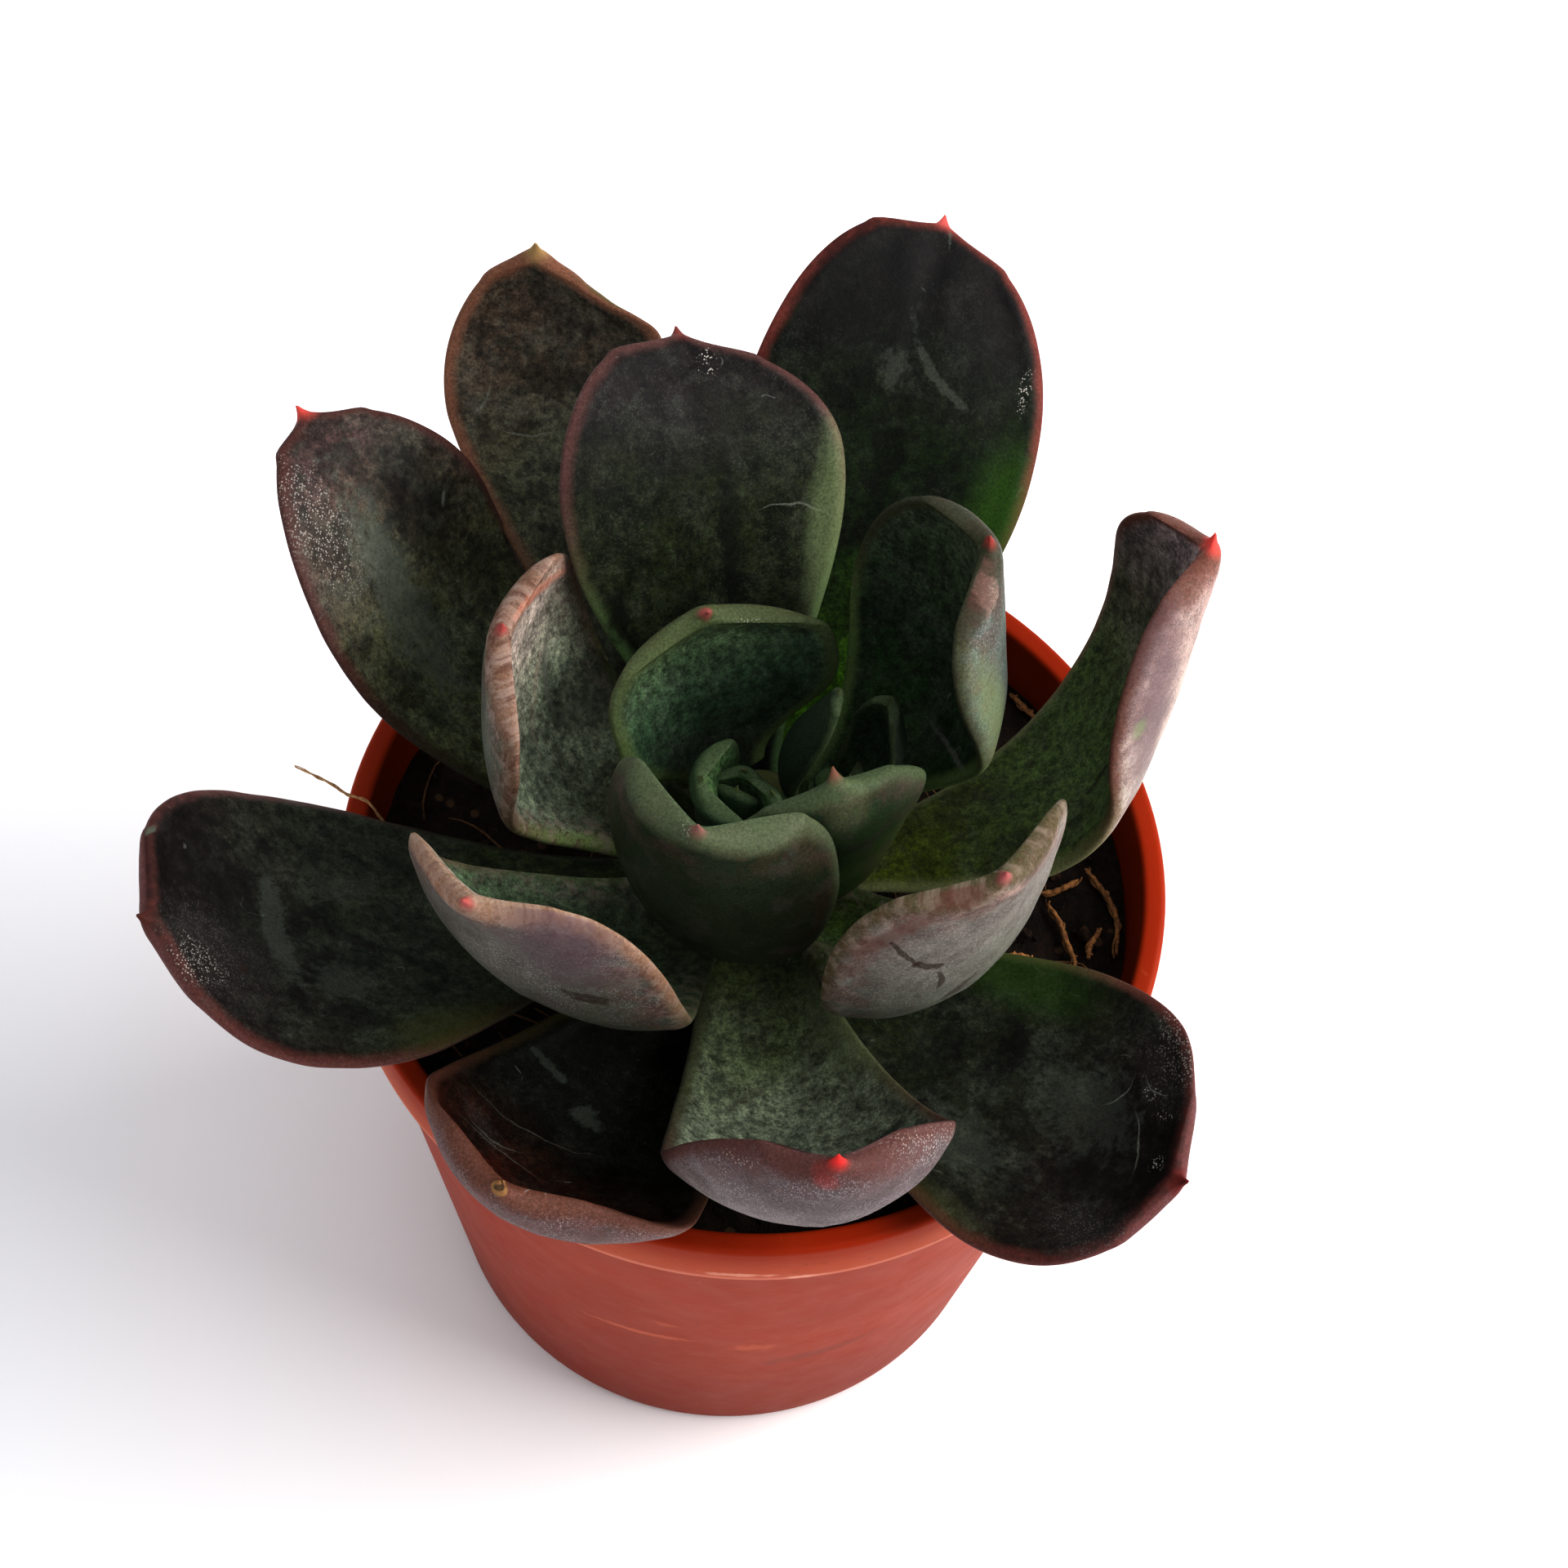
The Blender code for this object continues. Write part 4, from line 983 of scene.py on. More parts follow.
OUTER_LEAVES = (
    Leaf("leaf_01", heading=204, height=75.5, length=64.5, width=34, slope=(-1, 17, 34, 56),
         turn=3, roll=(27, -4), cup=(6, 15), neck=0.29, end=2.4, seed=1.0,
         skin=LeafSkin(upper=((61, 77, 31), (52, 59, 44), (39, 29, 28)),
                       margin=((47, 49, 32), (106, 64, 58)), point=(92, 50, 42), bloom=0.2),
         marks=(
             # The dark end: painted shade where the leaf lies in the shadow of the rosette.
             Mark(Look.SHADE_AND_SMUDGE, 55.5, -4.0, 8.0, 11.0),
             Mark(Look.DUST, 57.0, 4.0, 6.0, 6.0),
             Mark(Look.SPARKLE, 59.5, 4.9, 2.8, 2.4),
             Mark(Look.BRUISE_AND_SHADOW, 45.1, -10.3, 1.0, 0.9),
             streak(Look.BRUISE_AND_SHADOW, (44.5, -3.5), (35.0, 4.0), 0.8, bow=0.8, strength=0.8),
             Mark(Look.WAX_AND_HIGHLIGHT, 42.0, 6.5, 3.0, 2.2, strength=0.7),
             Mark(Look.WAX_AND_HIGHLIGHT, 38.0, -5.0, 4.0, 1.6, strength=0.6),
             streak(Look.BRUISE_AND_SHADOW, (45.0, 9.6), (38.5, 13.0), 1.2, strength=0.8),
             streak(Look.WAX_AND_HIGHLIGHT, (46.4, -6.5), (48.0, 7.0), 1.4, bow=1.0),
             Mark(Look.LEMON, 33.0, 14.5, 6.0, 2.4),
             Mark(Look.SCAR, 53.3, 5.0, 0.6, 0.5),
             # A small pale streak at the edge near the point: a painted highlight.
             Mark(Look.WAX_AND_HIGHLIGHT, 60.1, -9.8, 1.3, 0.3, 35.0, strength=1.7),
         )),
    Leaf("leaf_02", heading=247, height=72.5, length=59, width=31.5, slope=(4, 5, 48, 93),
         turn=-4, roll=(-9, 0), cup=(21, 53), widest=0.70, end=2.1, swing=6, seed=2.0,
         # The upper side is near black at its foot and middle: painted shade under leaf_01 and leaf_11, which
         # lie over it.
         skin=LeafSkin(upper=((2, 2, 2), (20, 21, 11), (72, 29, 19)),
                       margin=((74, 74, 40), (117, 79, 65)),
                       lower=((107, 99, 84), (121, 101, 97), (111, 86, 84)), point=(112, 72, 58),
                       point_length=1.2, bloom=0.1, lower_speckle=0.9, scratches=0.6),
         marks=(
             streak(Look.SCRATCH, (42.0, -11.0), (39.5, -1.5), 0.13, bow=-0.8, strength=0.7),
             streak(Look.SCRATCH, (41.5, -9.5), (39.0, -4.5), 0.16, bow=0.5, strength=0.8),
             Mark(Look.DUST, 39.8, -9.0, 1.6, 3.4, -15.0),
             streak(Look.SCRATCH, (36.9, -12.5), (32.5, 1.2), 0.1, bow=0.6, strength=0.6),
             streak(Look.WAX_AND_HIGHLIGHT, (25.6, -10.3), (26.0, -5.4), 0.5),
             Mark(Look.WAX_AND_HIGHLIGHT, 28.0, -1.5, 1.2, 1.6),
             Mark(Look.TAN, 58.2, 0.3, 0.75, 0.75, side=Side.LOWER),
             Mark(Look.TAN, 58.2, 0.3, 0.75, 0.75),
             Mark(Look.BRUISE_AND_SHADOW, 58.3, 0.3, 0.35, 0.35, side=Side.LOWER, strength=1.2),
             Mark(Look.BRUISE_AND_SHADOW, 58.3, 0.3, 0.35, 0.35, strength=1.2),
             Mark(Look.SCAR, 47.9, 6.5, 1.4, 0.5, 60.0, Side.LOWER),
             Mark(Look.BRUISE_AND_SHADOW, 36.7, 12.0, 1.5, 0.45, 20.0),
         )),
    Leaf("leaf_03", heading=282, height=77, length=65, width=31, slope=(-10, 17, 65, 99),
         turn=7, roll=(11, -8), cup=(35, 64), widest=0.70, neck=0.34, end=2.1, swing=-10, seed=3.0,
         skin=LeafSkin(upper=((80, 94, 52), (124, 132, 114), (143, 140, 143)),
                       margin=((90, 93, 67), (100, 65, 59)),
                       lower=((133, 146, 118), (154, 148, 144), (108, 95, 96)), lower_speckle=0.9,
                       point=(206, 62, 58), point_length=1.9, stain=0.25, shade=0.35, scratches=0.4),
         marks=(
             streak(Look.SPARKLE, (58.0, -10.5), (59.8, -7.5), 0.5, Side.LOWER),
             streak(Look.SPARKLE, (61.5, 6.0), (52.0, 14.0), 1.5, Side.LOWER, strength=0.8),
             streak(Look.RUSSET, (58.0, -11.0), (62.5, -2.0), 0.9, Side.LOWER, strength=0.7),
             streak(Look.RUSSET, (62.5, 1.0), (58.5, 9.0), 1.1, Side.LOWER),
             streak(Look.BLUSH, (63.5, -1.0), (61.0, -0.8), 0.9, Side.LOWER, strength=0.5),
             # A dark line just under the curled point: painted shadow of the curl's edge.
             streak(Look.BRUISE_AND_SHADOW, (64.0, -1.0), (61.0, -8.0), 0.35, Side.UPPER),
             streak(Look.SCAR, (23.5, -5.0), (21.0, -1.0), 0.5, strength=0.5),
             Mark(Look.PALE, 16.5, 7.8, 7.0, 2.4, 15.0, strength=0.6),
             Mark(Look.WAX_AND_HIGHLIGHT, 46.0, 6.0, 7.0, 6.0),
             streak(Look.SHADE_AND_SMUDGE, (37.0, 2.0), (34.0, 14.0), 1.0),
         )),
    Leaf("leaf_04", heading=319, height=73.5, length=54, width=32.5, slope=(0, 9, 14, 55),
         turn=9, roll=(-10, 14), cup=(12, 24), neck=0.23, end=2.1, seed=4.0,
         skin=LeafSkin(upper=((38, 48, 13), (34, 37, 25), (36, 25, 22)),
                       margin=((106, 104, 73), (102, 56, 51)), point=(116, 46, 40), bloom=0.2),
         marks=(
             Mark(Look.SHADE_AND_SMUDGE, 46.0, 1.0, 6.5, 12.0),
             Mark(Look.GREEN, 23.0, 10.6, 7.5, 3.4, 12.0, strength=0.7),
             Mark(Look.BRUISE_AND_SHADOW, 27.8, 4.6, 2.6, 1.0, -30.0, strength=0.8),
             Mark(Look.WAX_AND_HIGHLIGHT, 38.0, 3.0, 6.0, 4.0, strength=0.6),
             Mark(Look.WAX_AND_HIGHLIGHT, 31.0, -8.0, 5.0, 3.0, strength=0.6),
             Mark(Look.SHADE_AND_SMUDGE, 22.6, 0.8, 1.5, 1.2, strength=0.7),
             # Glints along the edge: a painted highlight.
             streak(Look.SPARKLE, (40.0, 14.8), (49.0, 9.5), 1.7, bow=0.8),
             Mark(Look.DUST, 45.0, 11.0, 6.0, 4.0, -30.0),
             Mark(Look.SPARKLE, 44.0, 7.7, 1.0, 0.6),
             Mark(Look.SPARKLE, 47.2, 6.0, 1.2, 0.4),
             Mark(Look.SPARKLE, 49.5, 1.0, 0.9, 0.8),
             streak(Look.SCRATCH, (44.2, 5.2), (47.5, 0.0), 0.12, bow=-0.6),
             streak(Look.SCRATCH, (41.5, 8.5), (46.0, 7.6), 0.1, bow=0.5),
             streak(Look.SCRATCH, (40.2, 4.6), (41.0, 7.9), 0.11, bow=0.5),
             Mark(Look.DUST, 47.5, -8.5, 5.0, 3.0),
             Mark(Look.LEMON, 33.0, -15.2, 6.0, 1.6, strength=0.5),
         )),
    Leaf("leaf_05", heading=16, height=77, length=68, width=28, slope=(-10, 26, 84, 69),
         turn=60, roll=(16, -70), cup=(-29, 81), widest=0.69, neck=0.20, end=2.7, swing=-15, seed=5.0,
         skin=LeafSkin(upper=((71, 82, 12), (88, 107, 61), (147, 132, 132)),
                       margin=((131, 135, 97), (114, 70, 56)),
                       lower=((145, 162, 114), (191, 183, 171), (187, 163, 155)), lower_speckle=0.95,
                       point=(222, 92, 84), point_length=2.4, shade=0.3, rubbed_colour=(134, 118, 114)),
         marks=(
             Mark(Look.DUST, 59.0, -8.0, 9.0, 4.0, side=Side.LOWER),
             Mark(Look.KEEL, 52.0, -9.5, 14.0, 2.6, side=Side.LOWER),
             Mark(Look.PALE, 52.1, -11.2, 1.2, 0.8, side=Side.LOWER),
             Mark(Look.BRUISE_AND_SHADOW, 32.7, -3.0, 2.0, 0.4, 20.0),
         )),
    Leaf("leaf_06", heading=76, height=77, length=64.5, width=31, slope=(26, 38, 33, 9),
         turn=6, roll=(-2, 24), cup=(14, 3), widest=0.62, end=2.2, seed=6.0,
         skin=LeafSkin(upper=((86, 133, 24), (23, 38, 14), (17, 12, 11)),
                       margin=((100, 96, 66), (128, 68, 60)), point=(200, 100, 94), bloom=0.08),
         marks=(
             Mark(Look.SHADE_AND_SMUDGE, 55.0, 6.0, 6.0, 7.0),
             # A thin whitish stripe near the point: a painted highlight.
             Mark(Look.WAX_AND_HIGHLIGHT, 61.6, -0.7, 1.1, 0.2, 10.0),
             Mark(Look.WAX_AND_HIGHLIGHT, 47.0, 1.5, 2.0, 1.4, strength=0.6),
             streak(Look.WAX_AND_HIGHLIGHT, (50.4, 1.0), (44.0, -7.5), 0.5, bow=1.2, strength=0.8),
             Mark(Look.GREEN, 34.9, -13.0, 7.0, 2.6),
             Mark(Look.SPARKLE, 48.6, -12.6, 1.8, 0.6),
         )),
    Leaf("leaf_07", heading=111, height=80.5, length=49.5, width=30.5, slope=(40, 50, 43, -1),
         turn=-7, roll=(-6, 20), cup=(11, 13), widest=0.69, end=1.9, swing=-3, seed=7.0,
         skin=LeafSkin(upper=((21, 29, 26), (40, 48, 27), (29, 23, 24)),
                       margin=((121, 154, 104), (105, 75, 71)), point=(128, 66, 58), bloom=0.14,
                       speckle=0.6),
         marks=(
             Mark(Look.SPARKLE, 45.0, -2.2, 1.3, 0.8),
             streak(Look.SHADE_AND_SMUDGE, (36.0, -2.5), (18.0, -1.8), 1.0),
             streak(Look.SCRATCH, (30.2, -6.0), (28.2, -13.6), 0.12, bow=-0.7),
             Mark(Look.SHADE_AND_SMUDGE, 21.9, 10.6, 2.8, 1.2, strength=1.2),
             streak(Look.PALE, (37.0, -14.9), (14.0, -9.8), 1.9),
         )),
    Leaf("leaf_08", heading=122, height=73.5, length=67, width=25.5, slope=(23, 32, 13, 88),
         turn=-11, roll=(9, -32), cup=(22, 45), widest=0.75, neck=0.60, end=1.7, swing=-10, seed=8.0,
         skin=LeafSkin(upper=((45, 56, 33), (74, 76, 57), (81, 69, 58)),
                       margin=((105, 89, 68), (132, 93, 74)),
                       lower=((112, 119, 84), (119, 104, 86), (119, 97, 74)), point=(158, 132, 92)),
         marks=(
             streak(Look.SCRATCH, (47.2, 8.0), (45.2, 2.8), 0.14, bow=0.4, strength=0.7),
             streak(Look.SCRATCH, (50.0, 10.1), (52.2, 7.2), 0.14, bow=0.3, strength=0.7),
             Mark(Look.LEMON, 59.9, -8.0, 5.0, 3.0, side=Side.LOWER),
         )),
    Leaf("leaf_09", heading=156, height=77.5, length=63, width=27, slope=(7, 21, 56, 10),
         turn=-24, roll=(4, 15), cup=(10, 16), widest=0.68, neck=0.46, end=1.8, swing=8, seed=9.0,
         skin=LeafSkin(upper=((97, 99, 51), (88, 93, 66), (78, 61, 58)),
                       margin=((49, 50, 28), (91, 56, 51)), point=(204, 92, 82), speckle=0.5, bloom=0.4),
         marks=(
             # A wide pale band along the blade: painted light where the leaf catches the light, laid over its
             # wax.
             streak(Look.WAX_AND_HIGHLIGHT, (53.0, 1.5), (30.0, 3.8), 3.0, strength=1.4),
             Mark(Look.DUST, 51.0, 8.5, 10.0, 4.5),
             Mark(Look.SPARKLE, 53.0, 7.0, 6.0, 3.0, strength=0.6),
             Mark(Look.SHADE_AND_SMUDGE, 47.0, -5.0, 8.0, 4.0),
             streak(Look.SCRATCH, (46.9, -8.4), (45.3, -7.4), 0.2),
         )),
)


def middle_skin(**finish: object) -> LeafSkin:
    """The finish of a middle leaf, whose point is shorter than an outer leaf's."""
    return LeafSkin(point_length=1.7, **finish)


MIDDLE_LEAVES = (
    Leaf("leaf_10", heading=170, height=81, length=41, width=29.5, slope=(13, 32, 84, 96),
         roll=(-11, 10), cup=(35, 37), widest=0.75, neck=0.40, end=2.4, swing=3, seed=10.0,
         skin=middle_skin(upper=((44, 55, 25), (142, 152, 132), (196, 180, 172)),
                          margin=((137, 152, 100), (141, 110, 93)),
                          lower=((96, 119, 82), (101, 116, 99), (109, 115, 100)), point=(172, 92, 88),
                          shade=0.3, crust=0.5, margin_width=2.0),
         marks=(
             streak(Look.CRUST, (38.8, -2.5), (33.0, -13.5), 1.0, strength=0.8),
             streak(Look.SALMON, (38.8, -3.5), (33.0, -13.5), 0.8, strength=0.7),
             streak(Look.CRUST, (27.5, -7.5), (21.0, 2.2), 0.5, bow=0.6, strength=0.7),
             # A dark patch inside the fold: painted shade.
             Mark(Look.SHADE_AND_SMUDGE, 17.5, -7.0, 7.0, 4.0, 60.0, strength=1.1),
             streak(Look.SCRATCH, (29.0, -9.5), (22.0, -3.5), 0.45, bow=0.5),
         )),
    Leaf("leaf_11", heading=232, height=80.5, length=60, width=32, slope=(6, 35, 80, 62),
         turn=-8, roll=(-6, 24), cup=(38, 42), widest=0.57, end=2.1, swing=11, seed=11.0,
         skin=middle_skin(upper=((33, 41, 16), (115, 135, 107), (171, 177, 163)),
                          margin=((93, 106, 77), (153, 122, 101)),
                          lower=((87, 96, 74), (94, 96, 82), (112, 108, 101)), point=(173, 98, 93),
                          lower_speckle=0.8, margin_width=1.7, shade=0.25, stain=0.5, crust=0.3),
         marks=(
             Mark(Look.KEEL, 52.0, 7.0, 7.0, 4.0, side=Side.LOWER),
             streak(Look.SCAR, (42.2, 6.0), (40.8, 10.2), 0.8, Side.LOWER),
             streak(Look.SCAR, (40.8, 6.5), (39.8, 9.6), 0.5, Side.LOWER),
             streak(Look.BRUISE_AND_SHADOW, (56.5, -2.5), (52.0, -8.0), 0.35),
         )),
    Leaf("leaf_12", heading=314, height=80.5, length=56, width=30, slope=(-5, 46, 86, 78),
         turn=-5, cup=(41, 43), widest=0.70, end=2.5, seed=12.0,
         skin=middle_skin(upper=((73, 92, 40), (63, 88, 53), (90, 114, 101)),
                          margin=((74, 85, 53), (90, 80, 52)),
                          lower=((105, 116, 97), (111, 116, 103), (134, 128, 121)), point=(162, 96, 94),
                          lower_speckle=0.6, margin_width=1.8, shade=0.25, stain=0.5, crust=0.3),
         marks=(
             streak(Look.RUSSET, (45.0, -12.6), (53.0, -6.0), 0.9, Side.LOWER),
             streak(Look.RUSSET, (53.0, -5.5), (54.2, -1.6), 0.7, Side.LOWER),
             streak(Look.SCAR, (47.7, -9.8), (43.1, -7.0), 0.3, Side.LOWER),
             streak(Look.SCAR, (43.4, -7.4), (41.2, -4.2), 0.55, Side.LOWER),
             streak(Look.SCAR, (40.5, -4.4), (36.8, -4.2), 0.25, Side.LOWER, bow=0.4),
             streak(Look.SCAR, (32.0, -3.0), (36.3, -0.7), 0.8, Side.LOWER, strength=0.8),
             streak(Look.CRUST, (54.0, -1.2), (51.0, 2.2), 0.7, Side.LOWER),
             Mark(Look.DUST, 44.0, 4.0, 8.0, 5.0, side=Side.LOWER, strength=0.6),
         )),
    Leaf("leaf_13", heading=33, height=85, length=45, width=29, slope=(18, 54, 90, 93),
         turn=-22, roll=(22, 0), cup=(41, 66), widest=0.65, neck=0.21, end=2.4, foot=5.4, seed=13.0,
         skin=middle_skin(upper=((65, 93, 52), (32, 56, 29), (75, 86, 67)),
                          margin=((118, 140, 86), (63, 63, 43)),
                          lower=((68, 77, 58), (63, 74, 70), (112, 120, 113)), point=(152, 74, 67),
                          shade=0.3),
         marks=(
             streak(Look.CRUST, (43.4, -2.2), (41.4, -5.6), 0.7, Side.LOWER),
             streak(Look.RUSSET, (43.4, -1.5), (41.8, -6.8), 0.6, Side.LOWER),
             streak(Look.PALE, (38.0, -10.0), (22.0, -12.3), 2.4, Side.LOWER),
             streak(Look.SCRATCH, (16.0, -3.0), (18.5, -11.5), 0.35, bow=0.5),
         )),
    Leaf("leaf_14", heading=130, height=86, length=25, width=26, slope=(53, 84, 69, 122),
         turn=-8, roll=(0, -7), cup=(42, 37), widest=0.55, neck=0.32, end=2.6, seed=14.0,
         skin=middle_skin(upper=((46, 60, 41), (65, 87, 66), (98, 116, 86)),
                          margin=((129, 149, 94), (90, 99, 66)),
                          lower=((131, 149, 112), (121, 146, 117), (119, 136, 110)), point=(174, 104, 98),
                          margin_width=1.9, shade=0.2),
         marks=(
             streak(Look.SPARKLE, (22.8, -3.5), (21.9, -7.5), 0.4),
         )),
    Leaf("leaf_15", heading=253, height=84, length=42, width=29.5, slope=(11, 56, 92, 89),
         turn=8, roll=(-16, -3), cup=(38, 84), widest=0.70, end=2.7, swing=6, seed=15.0,
         skin=middle_skin(upper=((55, 89, 55), (65, 104, 76), (86, 119, 89)),
                          margin=((85, 100, 70), (96, 105, 80)),
                          lower=((54, 61, 36), (48, 56, 35), (52, 63, 44)), point=(144, 107, 98),
                          margin_width=1.8, shade=0.2, lower_speckle=0.05, stain=0.2),
         marks=(
             Mark(Look.SPARKLE, 40.6, -0.9, 0.8, 0.6, side=Side.LOWER, strength=0.6),
             streak(Look.SCAR, (37.9, 7.4), (36.4, 8.4), 0.22, Side.LOWER, strength=0.7),
             Mark(Look.WAX_AND_HIGHLIGHT, 30.0, -2.5, 5.0, 3.4, side=Side.LOWER, strength=0.35),
             Mark(Look.SHADE_AND_SMUDGE, 29.0, 5.0, 2.6, 1.0, -20.0, Side.LOWER, strength=0.5),
         )),
    Leaf("leaf_16", heading=297, height=86.5, length=34, width=22, slope=(3, 82, 82, 132),
         turn=-3, roll=(-7, 6), cup=(29, 36), widest=0.71, neck=0.31, end=1.8, swing=5, seed=16.0,
         skin=middle_skin(upper=((65, 97, 65), (74, 110, 86), (91, 119, 97)),
                          margin=((78, 97, 65), (89, 101, 74)),
                          lower=((54, 75, 32), (74, 99, 50), (53, 70, 49)), point=(124, 88, 72),
                          margin_width=1.6, shade=0.2, lower_speckle=0.1, stain=0.2),
         marks=(
             Mark(Look.PALE, 29.6, 0.6, 2.4, 1.8, side=Side.LOWER, strength=0.4),
         )),
)

YOUNG_SKIN = LeafSkin(upper=((110, 138, 91), (102, 133, 91), (119, 148, 104)),
                      margin=((101, 118, 87), (105, 121, 89)),
                      lower=((78, 101, 71), (71, 95, 69), (78, 102, 74)), margin_width=0.6,
                      point=(120, 124, 84), point_length=0.8, shade=0.1, bloom=0.2,
                      rubbed_colour=(78, 96, 66), stain=0.0, speckle=0.15, lower_speckle=0.1,
                      scratches=0.1)

# A darker copy of the young leaves' skin: painted shade, since the side shoot lies in the shadow of the
# leaves round it.
SHADED_SHOOT_SKIN = LeafSkin(upper=((65, 86, 52), (50, 69, 48), (78, 99, 69)),
                      margin=((90, 103, 72), (86, 98, 71)),
                      lower=((52, 67, 46), (42, 57, 42), (48, 63, 46)), margin_width=0.6,
                      point=(104, 110, 76), point_length=0.7, shade=0.1, bloom=0.1,
                      rubbed_colour=(44, 58, 42), stain=0.0, speckle=0.15, lower_speckle=0.1,
                      scratches=0.1)

TIP_MIDDLE = (-2.2, -2.6)
SHOOT_MIDDLE = (6.6, 0.6)
YOUNG_THICKNESS = 1.7
YOUNG_SHAPE = {"bead": 0.05, "groove": 0.05, "keel": 0.1, "point_reach": 1.2, "point_width": 0.8,
               "sides": 48, "rings": 56}
TIP_SHAPE = {"middle": TIP_MIDDLE, "skin": YOUNG_SKIN, **YOUNG_SHAPE}
SHOOT_SHAPE = {"middle": SHOOT_MIDDLE, "thickness": YOUNG_THICKNESS, "skin": SHADED_SHOOT_SKIN, **YOUNG_SHAPE}

TIP_LEAVES = (
    Leaf("tip_leaf_1", heading=195, height=89.5, length=10, width=13.5, slope=(66, 85, 75, 111),
         roll=(0, -4), cup=(84, 75), widest=0.58, neck=0.6, end=2.4, swing=4,
         foot=2.3, seed=17.0, **TIP_SHAPE),
    Leaf("tip_leaf_2", heading=353, height=89, length=9.5, width=7.5, slope=(64, 77, 90, 118),
         turn=14, roll=(5, 32), cup=(40, 48), widest=0.6, neck=0.6, end=2.6, swing=-22,
         thickness=YOUNG_THICKNESS, foot=2.3, seed=18.0, **TIP_SHAPE),
    Leaf("tip_leaf_3", heading=80, height=90, length=7.5, width=6, slope=(75, 88, 96, 120),
         cup=(50, 60), widest=0.6, neck=0.6, thickness=YOUNG_THICKNESS, foot=1.4, seed=19.0, **TIP_SHAPE),
    Leaf("tip_leaf_4", heading=250, height=91, length=6, width=4.5, slope=(80, 92, 100, 110),
         cup=(40, 50), widest=0.6, neck=0.6, thickness=YOUNG_THICKNESS, foot=1.0, seed=20.0, **TIP_SHAPE),
)

SHOOT_LEAVES = (
    Leaf("shoot_leaf_1", heading=193, height=90.5, length=21.5, width=7, slope=(45, 93, 116, 102),
         roll=(3, -18), cup=(26, 38), widest=0.54, neck=0.49, end=1.9, foot=2.1, seed=21.0, **SHOOT_SHAPE),
    Leaf("shoot_leaf_2", heading=30, height=90, length=17, width=9, slope=(68, 58, 99, 94),
         roll=(7, 9), cup=(67, 83), widest=0.57, neck=0.58, end=1.7, swing=-4, foot=2.1, seed=22.0,
         **SHOOT_SHAPE),
    Leaf("shoot_leaf_3", heading=318, height=91.5, length=6.5, width=6, slope=(45, 75, 92, 100),
         cup=(60, 60), widest=0.6, neck=0.6, foot=1.2, seed=23.0, **SHOOT_SHAPE),
)


# Turned bodies and tubes


def turned_body(stations: list[tuple[float, float]], steps: int) -> bpy.types.Object:
    """Draws a ring out through stations of radius and height, and closes both ends.

    Args:
        stations: radius and height of each ring, from the first end to the last.
        steps: how many sides the rings have.

    Returns:
        The closed body, selected in object mode.
    """
    deselect_all()
    radius, height = stations[0]
    bpy.ops.mesh.primitive_circle_add(vertices=steps, radius=radius * MM, location=(0, 0, height * MM))
    bpy.ops.object.transform_apply(location=True, rotation=False, scale=False)
    body = bpy.context.object
    bpy.ops.object.mode_set(mode="EDIT")
    bpy.ops.mesh.select_all(action="SELECT")
    bpy.ops.mesh.edge_face_add()
    bpy.ops.mesh.select_all(action="SELECT")
    bpy.ops.mesh.delete(type="ONLY_FACE")
    bpy.ops.mesh.select_all(action="SELECT")
    for next_radius, next_height in stations[1:]:
        rise = (0, 0, (next_height - height) * MM)
        bpy.ops.mesh.extrude_region_move(TRANSFORM_OT_translate={"value": rise})
        share = next_radius / radius
        bpy.ops.transform.resize(value=(share, share, 1), center_override=(0, 0, next_height * MM))
        radius, height = next_radius, next_height
    bpy.ops.mesh.edge_face_add()
    bpy.ops.mesh.select_all(action="DESELECT")
    bpy.ops.object.mode_set(mode="OBJECT")
    for vertex in body.data.vertices[:steps]:
        vertex.select = True
    bpy.ops.object.mode_set(mode="EDIT")
    bpy.ops.mesh.edge_face_add()
    bpy.ops.mesh.select_all(action="SELECT")
    bpy.ops.mesh.normals_make_consistent(inside=False)
    bpy.ops.object.mode_set(mode="OBJECT")
    return body


def rounded(corner: tuple[float, float], before: tuple[float, float], after: tuple[float, float],
            radius: float, steps: int = 5) -> list[tuple[float, float]]:
    """Stations round a corner of a turned profile.

    Args:
        corner: radius and height of the sharp corner.
        before: the direction from the corner back along the profile, of length one.
        after: the direction from the corner onwards, of length one.
        radius: how far from the corner the rounding begins.
        steps: how many stations it has.

    Returns:
        The stations in order.
    """
    stations = []
    for step in range(steps + 1):
        t = step / steps
        stations.append(tuple(corner[axis] + radius * ((1 - t) ** 2 * before[axis] + t**2 * after[axis])
                              for axis in range(2)))
    return stations


